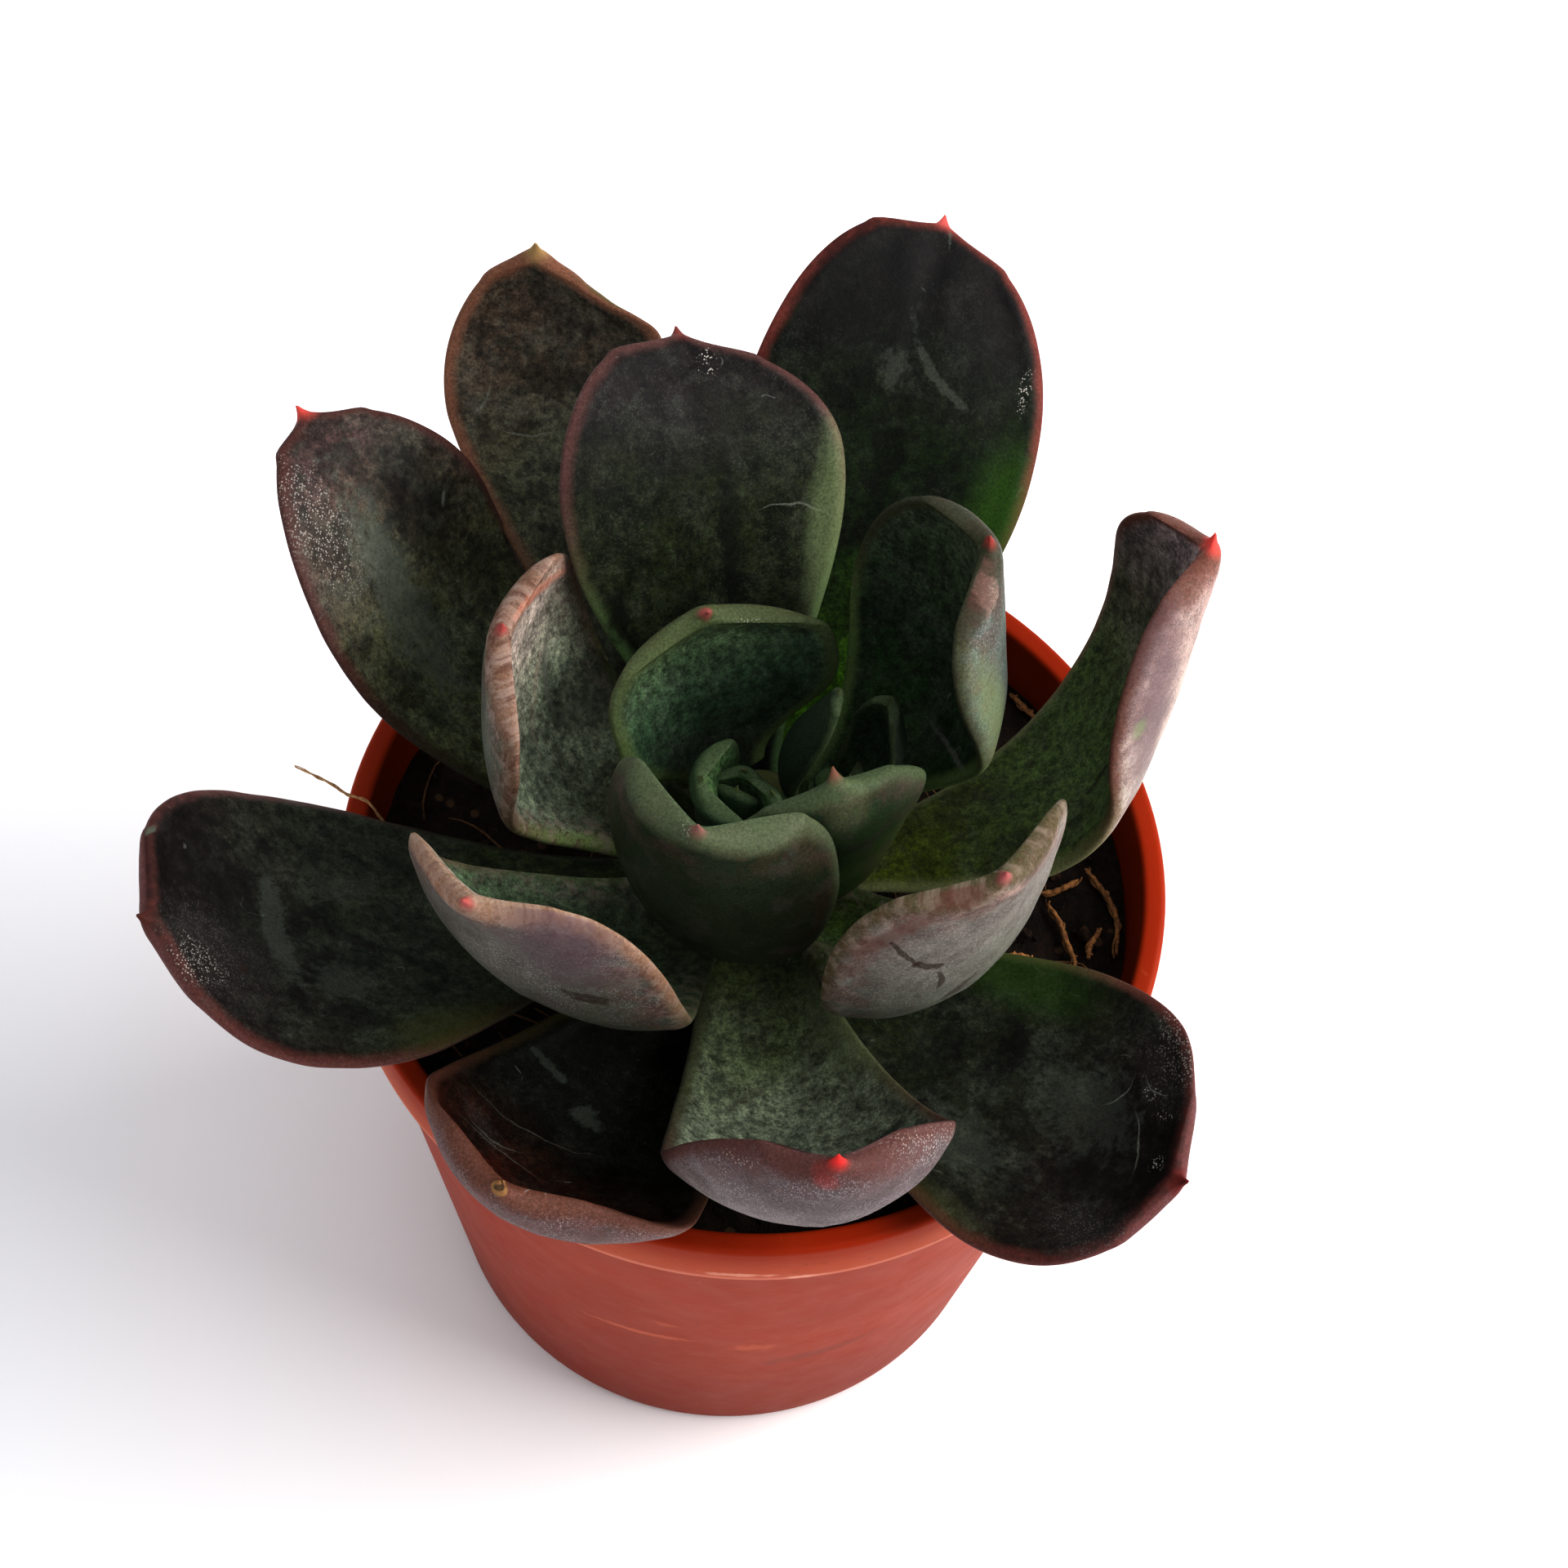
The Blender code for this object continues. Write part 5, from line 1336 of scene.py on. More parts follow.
def tube_set(name: str, routes: list[tuple[list[Vector], list[float]]], sides_level: int) -> bpy.types.Object:
    """Round strands along routes, closed at their ends, in one object.

    Args:
        name: the object's name while it is made.
        routes: the points of each strand and its radius at each point, in millimetres.
        sides_level: 0 for four sides, 1 for six, and two more for each level.

    Returns:
        The strands' mesh object.
    """
    deselect_all()
    bpy.ops.curve.primitive_nurbs_path_add()
    strand = bpy.context.object
    curve = strand.data
    curve.splines.clear()
    curve.bevel_depth = MM
    curve.bevel_resolution = sides_level
    curve.use_fill_caps = True
    for points, radii in routes:
        spline = curve.splines.new("POLY")
        spline.points.add(len(points) - 1)
        for point, place, radius in zip(spline.points, points, radii):
            point.co = (*(Vector(place) * MM), 1.0)
            point.radius = radius
    bpy.ops.object.convert(target="MESH")
    strand = bpy.context.object
    strand.name = name
    bpy.ops.object.mode_set(mode="EDIT")
    bpy.ops.mesh.select_all(action="SELECT")
    bpy.ops.mesh.remove_doubles(threshold=0.002 * MM)
    bpy.ops.mesh.normals_make_consistent(inside=False)
    bpy.ops.object.mode_set(mode="OBJECT")
    bpy.ops.object.shade_smooth()
    return strand


# Pot


@dataclass(frozen=True)
class SmudgeAndHighlight:
    """A mark on the pot's wall, a rubbed place, and for two of them a smear of painted highlight on the lip:
    its middle across the front and up, its reach each way, turn and colour.
    """

    across: float
    up: float
    length: float
    width: float
    angle: float
    colour: Colour
    share: float


@dataclass
class Pot:
    """The thin-walled nursery pot with its lip band and drain holes.

    hub is the innermost ring's radius, band the space for the drain holes each way from their circle,
    recess how far the base stands up inside its standing ring, and rim_round the rounding inside the rim.
    """

    height: float = 75.0
    rim_radius: float = 42.5
    rim_width: float = 2.4
    lip_height: float = 7.0
    lip_step: float = 1.5
    base_radius: float = 31.5
    wall: float = 1.2
    floor: float = 1.4
    drain_radius: float = 3.5
    drain_circle: float = 18.0
    drains: int = 5
    steps: int = 160
    hub: float = 2.0
    band: float = 5.0
    recess: float = 0.5
    rim_round: float = 0.7

    SMUDGES_AND_HIGHLIGHTS = (
        SmudgeAndHighlight(-7.6, 35.3, 5.2, 0.55, 8.0, (206, 118, 80), 0.45),
        SmudgeAndHighlight(5.0, 34.6, 2.0, 1.2, 0.0, (198, 106, 70), 0.4),
        SmudgeAndHighlight(-4.2, 41.2, 1.2, 0.7, 0.0, (200, 112, 78), 0.3),
        SmudgeAndHighlight(12.8, 28.2, 6.0, 1.2, 10.0, (104, 38, 18), 0.4),
        # These two pale smears on the lip's lower edge are painted highlight, part of the bright line along
        # it.
        SmudgeAndHighlight(2.7, 69.6, 3.4, 0.35, 0.0, (226, 176, 156), 0.5),
        SmudgeAndHighlight(9.2, 68.8, 1.6, 0.3, 0.0, (226, 176, 156), 0.5),
    )

    def inner_radius(self, height: float) -> float:
        """The inside of the pot's wall at a height."""
        low_radius = self.base_radius - self.wall
        high_radius = self.rim_radius - self.rim_width
        rise = self.height - self.rim_round - self.floor
        return low_radius + (high_radius - low_radius) * (height - self.floor) / rise

    def stations(self) -> list[tuple[float, float]]:
        """The pot's profile from the middle of its inner floor over the rim to the middle of its base."""
        inner_top = self.rim_radius - self.rim_width
        lip_foot = self.height - self.lip_height
        lip_radius = self.rim_radius - self.lip_step
        near, far = self.drain_circle - self.band, self.drain_circle + self.band
        points = [(self.hub, self.floor), (near, self.floor), (far, self.floor)]
        points += rounded((self.inner_radius(self.floor), self.floor), (-1, 0), (0.13, 0.99), 1.0)
        points += [(self.inner_radius(level), level) for level in (12, 24, 36, 48, 58, 66, 71)]
        points += rounded((inner_top, self.height), (0, -1), (1, 0), self.rim_round)
        points += rounded((self.rim_radius, self.height), (-1, 0), (0, -1), 0.75)
        points += [(self.rim_radius + 0.02, self.height - 2.5), (self.rim_radius, self.height - 4.6)]
        points += rounded((self.rim_radius - 0.05, lip_foot), (0, 1), (-1, 0), 0.55)
        points += rounded((lip_radius, lip_foot), (1, 0), (-0.14, -0.99), 0.35)
        for level in (64, 58, 50, 42, 34, 26, 18, 10, 5):
            share = (level - 1.6) / (lip_foot - 1.6)
            points.append((self.base_radius + 0.2 + (lip_radius - self.base_radius - 0.2) * share, level))
        points += rounded((self.base_radius, 0), (0.13, 0.99), (-1, 0), 1.6)
        points += [(self.base_radius - 4, 0), (self.base_radius - 4.6, self.recess), (far, self.recess)]
        points += [(near, self.recess), (self.hub, self.recess)]
        return points

    def build(self) -> None:
        """Shapes the pot, cuts its drain holes and dresses it."""
        pot = turned_body(self.stations(), self.steps)
        for number in range(self.drains):
            self.cut_drain(pot, math.tau * number / self.drains)
        places = vertex_places(pot.data)
        angles = np.arctan2(places[:, 1], places[:, 0])
        drawn = 1 + 0.0016 * np.sin(3 * angles + 0.8) * places[:, 2] / (self.height * MM)
        places[:, :2] *= drawn[:, None]
        move_vertices(pot.data, places)
        from_front = np.mod(angles + np.pi / 2 + np.pi, math.tau) - np.pi
        radius = np.hypot(places[:, 0], places[:, 1]) / MM
        keep_values(pot.data, "wall", np.stack([from_front * radius, places[:, 2] / MM, radius], -1))
        deselect_all()
        pot.select_set(True)
        bpy.context.view_layer.objects.active = pot
        bpy.ops.object.shade_smooth_by_angle(angle=math.radians(40))
        dress(pot, "nursery_pot", Finish.POT, self.plastic(), "pot")

    def cut_drain(self, pot: bpy.types.Object, angle: float) -> None:
        """Cuts one drain hole through the floor."""
        deselect_all()
        place = (math.cos(angle) * self.drain_circle * MM, math.sin(angle) * self.drain_circle * MM, 0)
        bpy.ops.mesh.primitive_cylinder_add(vertices=40, radius=self.drain_radius * MM, depth=6 * MM,
                                            location=place)
        plug = bpy.context.object
        cut = pot.modifiers.new("drain", "BOOLEAN")
        cut.object = plug
        cut.solver = "EXACT"
        deselect_all()
        bpy.context.view_layer.objects.active = pot
        bpy.ops.object.modifier_apply(modifier=cut.name)
        bpy.data.objects.remove(plug, do_unlink=True)

    def plastic(self) -> bpy.types.Material:
        """Satin terracotta plastic, darker towards the bottom as painted shade, paler on the lip band, with a
        painted highlight line and smears along the lip's lower edge, smudges and rubbed scratches.
        """
        nodes = MaterialNodes("terracotta_plastic")
        place = nodes.millimetres()
        wall = nodes.add("Attribute", attribute_name="wall").outputs["Vector"]
        parts = nodes.add("SeparateXYZ", {0: wall})
        height = parts.outputs["Y"]
        cloud = nodes.noise(place, 0.035, 4.0)
        colour = nodes.mix(cloud, linear((136, 41, 5)), linear((166, 56, 9)))
        # Darker towards the bottom: painted shade.
        colour = nodes.tint(nodes.smooth(height, 40.0, 4.0), 0.4, colour, (104, 28, 7))
        outside = nodes.smooth(parts.outputs["Z"], self.rim_radius - 1.1, self.rim_radius - 0.5)
        lip = nodes.times(outside, nodes.smooth(height, 67.6, 68.4))
        lip = nodes.times(lip, nodes.smooth(height, 74.6, 69.5))
        colour = nodes.tint(lip, 0.6, colour, (186, 94, 58))
        # A pale line along the lip's lower edge: a painted highlight.
        from_highlight_line = nodes.math("ABSOLUTE", nodes.minus(height, 68.6))
        line = nodes.times(outside, nodes.smooth(from_highlight_line, 0.7, 0.1))
        colour = nodes.tint(line, 0.35, colour, (226, 160, 138))
        specks = FineSpeckle.place(nodes, place=place, size=0.9, share=0.05)
        colour = nodes.tint(specks, 0.25, colour, (120, 50, 34))
        dust = WaxBloom.islands(nodes, place, 0.09, 0.3, 0.14)
        colour = nodes.tint(dust, 0.06, colour, (190, 116, 70))
        fray, sway = nodes.unevenness(wall)
        for smudge_and_highlight in self.SMUDGES_AND_HIGHLIGHTS:
            inside = RaggedPatch.place(
                nodes, place=wall, fray=fray, sway=sway, centre=(smudge_and_highlight.across, smudge_and_highlight.up, 0.0), ragged=0.7,
                softness=0.6, **RaggedPatch.axes(smudge_and_highlight.length, smudge_and_highlight.width, smudge_and_highlight.angle))
            colour = nodes.tint(inside, smudge_and_highlight.share, colour, smudge_and_highlight.colour)
        lines = HairScratches.place(nodes, place=place, scale=0.05, thin=0.004, cover=0.5)
        colour = nodes.tint(lines, 0.1, colour, (214, 140, 104))
        roughness = nodes.spread(nodes.noise(place, 0.25, 5.0), 0.34, 0.52)
        grain = Grain.place(nodes, place=place, size=0.9, pits=0.25)
        return nodes.surface(colour, roughness, grain, 0.03, gloss=0.15)


# Soil, stem and fibres


@dataclass
class Soil:
    """The lumpy potting soil with its crumbs and loose hairs."""

    pot: Pot
    top: float = 68.2
    swell: float = 0.6
    lump: float = 7.0
    stem_radius: float = 5.2
    gap: float = 0.3
    hole_floor: float = 57.0
    rings: int = 56
    steps: int = 168
    crumbs: int = 260
    hairs: int = 90
    hair_step: float = 1.5

    CRUMBLY = ((0.42, 3.0, 1.7), (0.26, 8.0, 0.8))

    def surface(self, x: float, y: float) -> float:
        """The height of the soil's lumpy surface, which is level at the wall and at the stem."""
        radius = math.hypot(x, y)
        edge = self.pot.inner_radius(self.top) - self.gap
        calm = min(1.0, (edge - radius) / 4.0, max(0.0, (radius - self.stem_radius - 1.0) / 4.0))
        lumps = noise.noise(Vector((x, y, 0.0)) / self.lump)
        lumps += 0.6 * noise.noise(Vector((y, -x, 9.0)) / self.lump * 2)
        return self.top + self.swell * max(-1.0, min(1.0, 1.8 * lumps)) * max(0.0, calm)

    def build(self) -> None:
        """Makes the soil's body, then its crumbs and hairs."""
        edge = self.pot.inner_radius(self.top) - 0.03
        hole = self.stem_radius + 0.15
        bottom = self.pot.floor + self.gap
        stations = [(1.0, self.hole_floor), (hole, self.hole_floor)]
        stations += [(hole + (edge - hole) * ring / self.rings, self.top) for ring in range(self.rings + 1)]
        stations += [(self.pot.inner_radius(bottom + 1.0) - self.gap, bottom + 1.0),
                     (self.pot.inner_radius(bottom) - self.gap - 1.0, bottom), (1.0, bottom)]
        soil = turned_body(stations, self.steps)
        for vertex in soil.data.vertices:
            if abs(vertex.co.z - self.top * MM) < 0.01 * MM:
                x, y = vertex.co.x / MM, vertex.co.y / MM
                crumbly = sum(rise * noise.noise(Vector((x, y, layer)) / size)
                              for rise, layer, size in self.CRUMBLY)
                vertex.co.z = (self.surface(x, y) + crumbly - 0.1) * MM
        bpy.ops.object.shade_smooth_by_angle(angle=math.radians(60))
        dress(soil, "soil_body", Finish.SOIL, self.earth("dark_earth", (28, 20, 14), (50, 34, 24)), "soil")
        self.scatter_crumbs()
        self.scatter_hairs()

    def scatter_crumbs(self) -> None:
        """Copies a few modelled crumbs over the soil, half sunk in it, and joins them into one piece."""
        chance = random.Random(11)
        models = []
        for number in range(4):
            deselect_all()
            bpy.ops.mesh.primitive_ico_sphere_add(subdivisions=2, radius=1.0)
            model = bpy.context.object
            for vertex in model.data.vertices:
                bump = 0.35 * noise.noise(vertex.co * 1.3 + Vector((number * 5.0, 0, 0)))
                vertex.co = vertex.co * (1 + bump)
            models.append(model)
        copies = []
        edge = self.pot.inner_radius(self.top)
        for number in range(self.crumbs):
            crumb = chance.choice(models).copy()
            crumb.data = crumb.data.copy()
            bpy.context.scene.collection.objects.link(crumb)
            size = 0.35 + 1.0 * chance.random() ** 2.5
            radius = math.sqrt(chance.uniform((self.stem_radius + 2.5) ** 2, (edge - 1.4 * size - 0.4) ** 2))
            angle = chance.uniform(0, math.tau)
            x, y = radius * math.cos(angle), radius * math.sin(angle)
            turn = Euler([chance.uniform(0, math.tau) for _ in range(3)]).to_matrix().to_4x4()
            scale = Matrix.Diagonal((*[size * MM * chance.uniform(0.6, 1.1) for _ in range(3)], 1))
            place = Matrix.Translation(Vector((x, y, self.surface(x, y) + 0.12 * size)) * MM)
            crumb.data.transform(place @ turn @ scale)
            copies.append(crumb)
        for model in models:
            bpy.data.objects.remove(model, do_unlink=True)
        deselect_all()
        for crumb in copies:
            crumb.select_set(True)
        bpy.context.view_layer.objects.active = copies[0]
        bpy.ops.object.join()
        bpy.ops.object.shade_smooth_by_angle(angle=math.radians(50))
        dress(copies[0], "soil_crumbs", Finish.SOIL, self.earth("crumb_earth", (34, 24, 17), (92, 62, 40)))

    def scatter_hairs(self) -> None:
        """Lays fine coir hairs over the soil in loose arcs."""
        chance = random.Random(23)
        routes = []
        edge = self.pot.inner_radius(self.top) - 1.2
        while len(routes) < self.hairs:
            angle = chance.uniform(0, math.tau)
            radius = chance.uniform(self.stem_radius + 4, edge - 2)
            heading = chance.uniform(0, math.tau)
            bend = chance.uniform(-0.35, 0.35)
            x, y = radius * math.cos(angle), radius * math.sin(angle)
            count = chance.randint(6, 9)
            rise = chance.uniform(0.1, 1.2)
            points = []
            for step in range(count):
                lift = 0.12 + rise * math.sin(math.pi * step / (count - 1))
                points.append(Vector((x, y, self.surface(x, y) + lift)))
                heading += bend + chance.uniform(-0.12, 0.12)
                x += self.hair_step * math.cos(heading)
                y += self.hair_step * math.sin(heading)
            thick = chance.uniform(0.07, 0.17)
            if all(self.stem_radius + 2.5 < math.hypot(point.x, point.y) < edge for point in points):
                routes.append((points, [thick * (1 - 0.6 * step / count) for step in range(count)]))
        hairs = tube_set("soil_hairs", routes, 0)
        dress(hairs, "soil_hairs", Finish.FIBRE, CoirFibres.coir("hair_coir", (92, 62, 36), (150, 108, 64)))

    def earth(self, name: str, dark: Colour, light: Colour) -> bpy.types.Material:
        """Damp earth: dark clods, lighter crumbs, a few mineral specks, and a rough broken surface."""
        nodes = MaterialNodes(name)
        place = nodes.millimetres()
        clods = nodes.noise(place, 0.5, 5.0, 0.7)
        colour = nodes.mix(nodes.smooth(clods, 0.42, 0.72), linear(dark), linear(light))
        colour = nodes.vary(nodes.noise(place, 3.5, 1.0), 0.6, 1.35, colour)
        flecks = FineSpeckle.place(nodes, place=place, size=1.3, share=0.05)
        colour = nodes.tint(flecks, 0.5, colour, (128, 98, 66))
        grain = Grain.place(nodes, place=place, size=0.5, pits=0.6)
        height = nodes.plus(nodes.noise(place, 1.2, 4.0, 0.7), grain)
        roughness = nodes.spread(nodes.noise(place, 0.8), 0.78, 1.0)
        return nodes.surface(colour, roughness, height, 0.35, gloss=0.3)


@dataclass
class Stem:
    """The short corky stem, ringed by the scars of fallen leaves."""

    radius: float = 5.2
    floor: float = 57.3
    taper_from: float = 81.0
    top: float = 88.0
    neck: float = 4.5
    steps: int = 64
    rings: int = 56
    chamfer: float = 2.4

    def build(self) -> None:
        """Turns the stem, roughens its bark and dresses it."""
        stations = [(1.0, self.floor), (self.radius - 1.2, self.floor), (self.radius, self.floor + 2.0)]
        for ring in range(self.rings + 1):
            rise = self.top - 0.5 - self.floor - self.chamfer
            height = self.floor + self.chamfer + rise * ring / self.rings
            taper = max(0.0, (height - self.taper_from) / (self.top - self.taper_from))
            stations.append((self.radius + (self.neck - self.radius) * taper, height))
        stations += [(self.neck - 0.6, self.top), (1.0, self.top)]
        stem = turned_body(stations, self.steps)
        places = vertex_places(stem.data) / MM
        angles = np.arctan2(places[:, 1], places[:, 0])
        free = np.clip((places[:, 2] - 68.0) / 2, 0, 1) * np.clip((self.top - places[:, 2]) / 1.5, 0, 1)
        scars = np.abs(np.sin(places[:, 2] * 0.9 + angles * 2.0)) ** 6
        swell = 0.16 * soft_waves(angles * self.radius, places[:, 2], 3.0, 5.0) + 0.22 * scars - 0.1
        places[:, :2] *= (1 + swell * free / self.radius)[:, None]
        move_vertices(stem.data, places * MM)
        bpy.ops.object.shade_smooth_by_angle(angle=math.radians(60))
        dress(stem, "corky_stem_body", Finish.STEM, self.bark(), "stem")

    def bark(self) -> bpy.types.Material:
        """Dry cork: grey-brown with dark furrows round the stem."""
        nodes = MaterialNodes("corky_bark")
        place = nodes.millimetres()
        stretched = nodes.vector("MULTIPLY", place, (1.0, 1.0, 2.6))
        furrow = nodes.noise(stretched, 0.6, 7.0, 0.65)
        colour = nodes.ramp(furrow, ((54, 42, 30), (116, 98, 68), (152, 136, 102)), (0.3, 0.5, 0.75))
        fresh = nodes.add("SeparateXYZ", {0: place}).outputs["Z"]
        colour = nodes.tint(nodes.smooth(fresh, 76.0, 86.0), 0.6, colour, (126, 138, 84))
        return nodes.surface(colour, nodes.spread(furrow, 0.95, 0.7), furrow, 0.3)


@dataclass
class CoirFibres:
    """The thick coir fibres on the soil and the stray one over the rim, each with a thin strand beside it."""

    soil: Soil
    radius: float = 0.32
    lift: float = 0.85
    stray_radius: float = 0.14

    ON_SOIL = (
        ("fibre_1", ((34.6, 7.5), (36.4, 5.1), (38.1, 1.9), (38.3, -2.4))),
        ("fibre_2", ((30.9, 3.0), (32.4, 0.5), (33.8, -2.9), (34.1, -4.3))),
        ("fibre_3", ((30.1, 4.2), (32.2, 4.7), (34.0, 5.9))),
        ("fibre_4", ((36.6, 0.4), (35.6, -1.5), (35.4, -3.3))),
        ("fibre_5", ((26.2, -4.2), (28.3, -3.8), (29.8, -4.0))),
        ("fibre_6", ((25.5, 28.0), (27.0, 26.6), (28.7, 25.0))),
        ("fibre_7", ((21.2, 28.9), (22.6, 29.3), (24.3, 29.3))),
    )
    OVER_RIM = ((-35.6, 2.1, 69.6), (-38.0, 1.7, 73.0), (-40.0, 2.5, 76.0), (-42.4, 3.0, 76.6),
                (-44.8, 3.8, 77.6), (-47.8, 4.6, 78.2))

    def build(self) -> None:
        """Makes every fibre as a piece of its own."""
        for number, (node, points) in enumerate(self.ON_SOIL):
            flat = self.smooth_route([(*point, 0.0) for point in points], 8)
            route = [Vector((x, y, self.soil.surface(x, y) + self.lift)) for x, y, _ in flat]
            self.strand(node, route, self.radius, number)
        route = [Vector(point) for point in self.smooth_route(self.OVER_RIM, 7)]
        self.strand("rim_fibre", route, self.stray_radius, 9, "pale_coir", (166, 126, 84), (214, 178, 132))

    def smooth_route(self, points: object, per_span: int) -> list[tuple[float, ...]]:
        """A smooth route through a few points, with more points between them."""
        rows = np.array(points, float)
        at = np.linspace(0, len(rows) - 1, per_span * (len(rows) - 1) + 1)
        return [tuple(row) for row in smooth_curve(np.arange(len(rows)), rows, at)]

    def strand(self, node: str, route: list[Vector], radius: float, number: int, skin: str = "coarse_coir",
               dark: Colour = (112, 76, 44), light: Colour = (190, 140, 86)) -> None:
        """Makes one fibre, thinner at its ends, with a fine strand wound loosely about it."""
        last = len(route) - 1
        radii = [radius * (0.45 + 0.55 * math.sin(math.pi * min(step, last - step) / last) ** 0.5)
                 * (1 + 0.18 * math.sin(step * 1.9 + number)) for step in range(last + 1)]
        beside = []
        for step, place in enumerate(route):
            angle = step * 0.7 + number
            out = Vector((math.cos(angle), math.sin(angle), 0.6 * math.sin(angle + 1)))
            beside.append(place + out * radius * 1.15)
        fibre = tube_set(node, [(route, radii), (beside, [radius * 0.34] * len(route))], 3)
        material = bpy.data.materials.get(skin) or self.coir(skin, dark, light)
        dress(fibre, node + "_strand", Finish.FIBRE, material, node)

    @staticmethod
    def coir(name: str, dark: Colour, light: Colour) -> bpy.types.Material:
        """Dry coir: streaky tan and brown with a fibrous relief."""
        nodes = MaterialNodes(name)
        streaks = nodes.noise(nodes.millimetres(), 1.8, 6.0, 0.7)
        colour = nodes.mix(nodes.smooth(streaks, 0.35, 0.7), linear(dark), linear(light))
        return nodes.surface(colour, nodes.spread(streaks, 0.65, 0.9), streaks, 0.08)


# Rosette


@dataclass
class Rosette:
    """All the leaves, the bud in the heart and the side shoot's stalk."""

    bud_radius: float = 2.2
    bud_top: float = 93.5
    bud_foot: float = 88.0
    stalk_radius: float = 1.5

    STALK = ((3.0, 0.2, 89.0), (3.6, 0.2, 89.7), (5.0, 0.4, 90.2), (6.3, 0.6, 91.1), (6.6, 0.6, 93.2))

    def build(self) -> None:
        """Builds the outer and middle leaves, then the heart and the side shoot."""
        for leaf in OUTER_LEAVES:
            leaf.dress_up(Finish.OUTER, leaf.name)
        for leaf in MIDDLE_LEAVES:
            leaf.dress_up(Finish.MIDDLE, leaf.name)
        flesh = self.flesh()
        self.build_bud(flesh)
        for leaf in TIP_LEAVES:
            leaf.dress_up(Finish.YOUNG, "growing_tip")
        self.build_stalk(flesh)
        for leaf in SHOOT_LEAVES:
            leaf.dress_up(Finish.YOUNG, "side_shoot")

    def build_bud(self, flesh: bpy.types.Material) -> None:
        """Turns the short bud that the youngest leaves wrap."""
        radius, top = self.bud_radius, self.bud_top
        stations = [(0.4, self.bud_foot), (radius * 1.15, self.bud_foot), (radius, self.bud_foot + 1.0),
                    (radius, top - 2.4), (radius * 0.9, top - 1.6), (radius * 0.6, top - 0.6), (0.3, top)]
        bud = turned_body(stations, 40)
        bud.data.transform(Matrix.Translation((TIP_MIDDLE[0] * MM, TIP_MIDDLE[1] * MM, 0)))
        bpy.ops.object.shade_smooth()
        dress(bud, "tip_bud", Finish.YOUNG, flesh, "growing_tip")

    def build_stalk(self, flesh: bpy.types.Material) -> None:
        """Makes the side shoot's stalk along its bent route."""
        places = np.arange(len(self.STALK))
        at = np.linspace(0, len(self.STALK) - 1, 24)
        route = [Vector(row) for row in smooth_curve(places, self.STALK, at)]
        stalk = tube_set("stalk", [(route, [self.stalk_radius] * len(route))], 7)
        dress(stalk, "shoot_stalk", Finish.YOUNG, flesh, "side_shoot")

    def flesh(self) -> bpy.types.Material:
        """Tender pale green flesh with a light bloom."""
        nodes = MaterialNodes("young_flesh")
        place = nodes.millimetres()
        colour = nodes.mix(nodes.noise(place, 0.9, 5.0), linear((84, 116, 68)), linear((136, 158, 108)))
        colour = nodes.tint(WaxBloom.islands(nodes, place, 0.6, 0.4, 0.15), 0.4, colour, (166, 178, 158))
        roughness = nodes.spread(nodes.noise(place, 2.0), 0.45, 0.62)
        grain = Grain.place(nodes, place=place, size=0.3, pits=0.3)
        return nodes.surface(colour, roughness, grain, 0.03)


# Studio


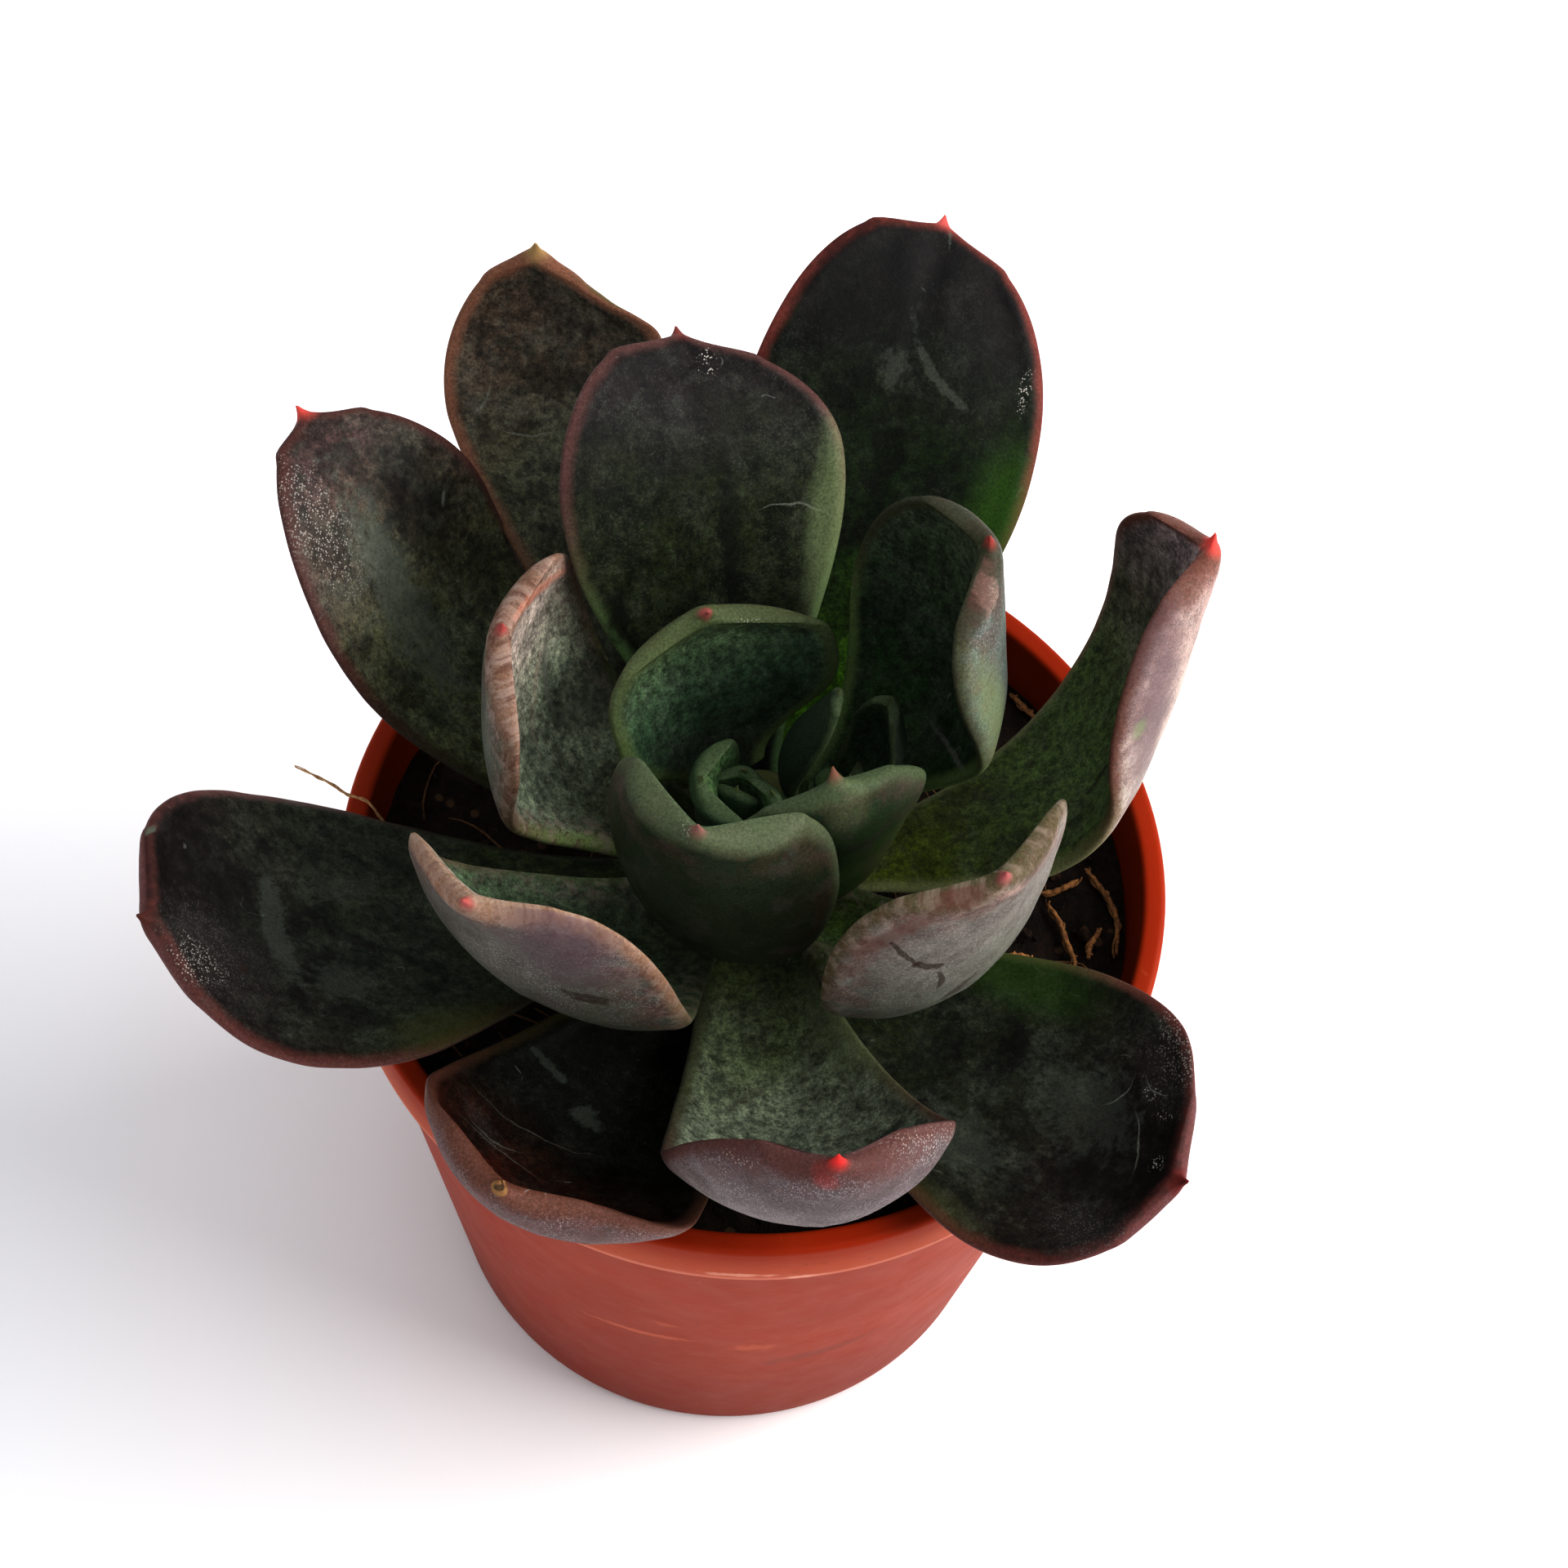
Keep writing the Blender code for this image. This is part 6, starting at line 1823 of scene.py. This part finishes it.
@dataclass
class Studio:
    """The pale floor, the soft lights and the camera."""

    floor_radius: float = 2.0
    key_power: float = 15.5
    fill_power: float = 0.3
    world_strength: float = 0.7
    exposure: float = 0.42
    gamma: float = 0.7
    focal_pixels: float = 4500.0
    photo_pixels: float = 1920.0
    sensor: float = 36.0

    AIM = (0.0, 0.0, 0.08)
    CAMERA_PLACE = (0.0, -0.182185, 0.405028)
    FORWARD = (0.00580, 0.50400, -0.86369)
    UP = (-0.10295, 0.85941, 0.50081)
    RIGHT = (0.99467, 0.08601, 0.05687)

    def build(self) -> None:
        """Lays the floor, hangs the lights and places the camera."""
        self.lay_floor()
        self.hang_light("key", (0.98, 0.06, 0.80), (1.1, 0.9), self.key_power, (1.0, 0.985, 0.965))
        self.hang_light("fill", (-0.55, -0.75, 0.35), (0.9, 0.6), self.fill_power, (0.93, 0.96, 1.0))
        world = bpy.data.worlds.new("studio")
        world.use_nodes = True
        sky = world.node_tree.nodes["Background"].inputs
        sky["Color"].default_value = (0.95, 0.97, 1.0, 1.0)
        sky["Strength"].default_value = self.world_strength
        bpy.context.scene.world = world
        view = bpy.context.scene.view_settings
        view.view_transform = "Standard"
        view.exposure = self.exposure
        view.gamma = self.gamma
        self.place_camera()

    def lay_floor(self) -> None:
        """Lays a wide pale floor with a faint unevenness in its white."""
        deselect_all()
        bpy.ops.mesh.primitive_circle_add(vertices=96, radius=self.floor_radius, fill_type="NGON")
        floor = bpy.context.object
        floor.name = "studio_floor"
        nodes = MaterialNodes("pale_floor")
        tone = nodes.noise(nodes.millimetres(), 0.004, 3.0)
        colour = nodes.mix(tone, (0.88, 0.895, 0.91, 1.0), (0.92, 0.915, 0.91, 1.0))
        floor.data.materials.append(nodes.surface(colour, nodes.spread(tone, 0.7, 0.8)))

    def hang_light(self, name: str, place: tuple[float, float, float], size: tuple[float, float],
                   power: float, colour: tuple[float, float, float]) -> None:
        """Hangs one soft rectangular light that faces the plant.

        Args:
            name: the light's name.
            place: where it hangs, in metres.
            size: its width and height, in metres.
            power: its power, in watts.
            colour: the colour of its light.
        """
        deselect_all()
        aim = Vector(self.AIM) - Vector(place)
        turn = aim.to_track_quat("-Z", "Y").to_euler()
        bpy.ops.object.light_add(type="AREA", location=place, rotation=turn)
        light = bpy.context.object
        light.name = name + "_light"
        light.data.shape = "RECTANGLE"
        light.data.size, light.data.size_y = size
        light.data.energy = power
        light.data.color = colour

    def place_camera(self) -> None:
        """Places the camera at the photograph's viewing angle."""
        deselect_all()
        bpy.ops.object.camera_add(location=self.CAMERA_PLACE)
        camera = bpy.context.object
        camera.name = "photo_camera"
        axes = Matrix((self.RIGHT, self.UP, [-part for part in self.FORWARD])).transposed()
        camera.rotation_euler = axes.to_euler()
        camera.data.sensor_width = self.sensor
        camera.data.lens = self.focal_pixels * self.sensor / self.photo_pixels
        camera.data.clip_start = 0.01
        bpy.context.scene.camera = camera


def main() -> None:
    """Builds the studio and the plant piece by piece."""
    logging.basicConfig(level=logging.INFO, format="%(message)s")
    Studio().build()
    pot = Pot()
    pot.build()
    soil = Soil(pot)
    soil.build()
    Stem().build()
    CoirFibres(soil).build()
    Rosette().build()


if __name__ == "__main__":
    main()
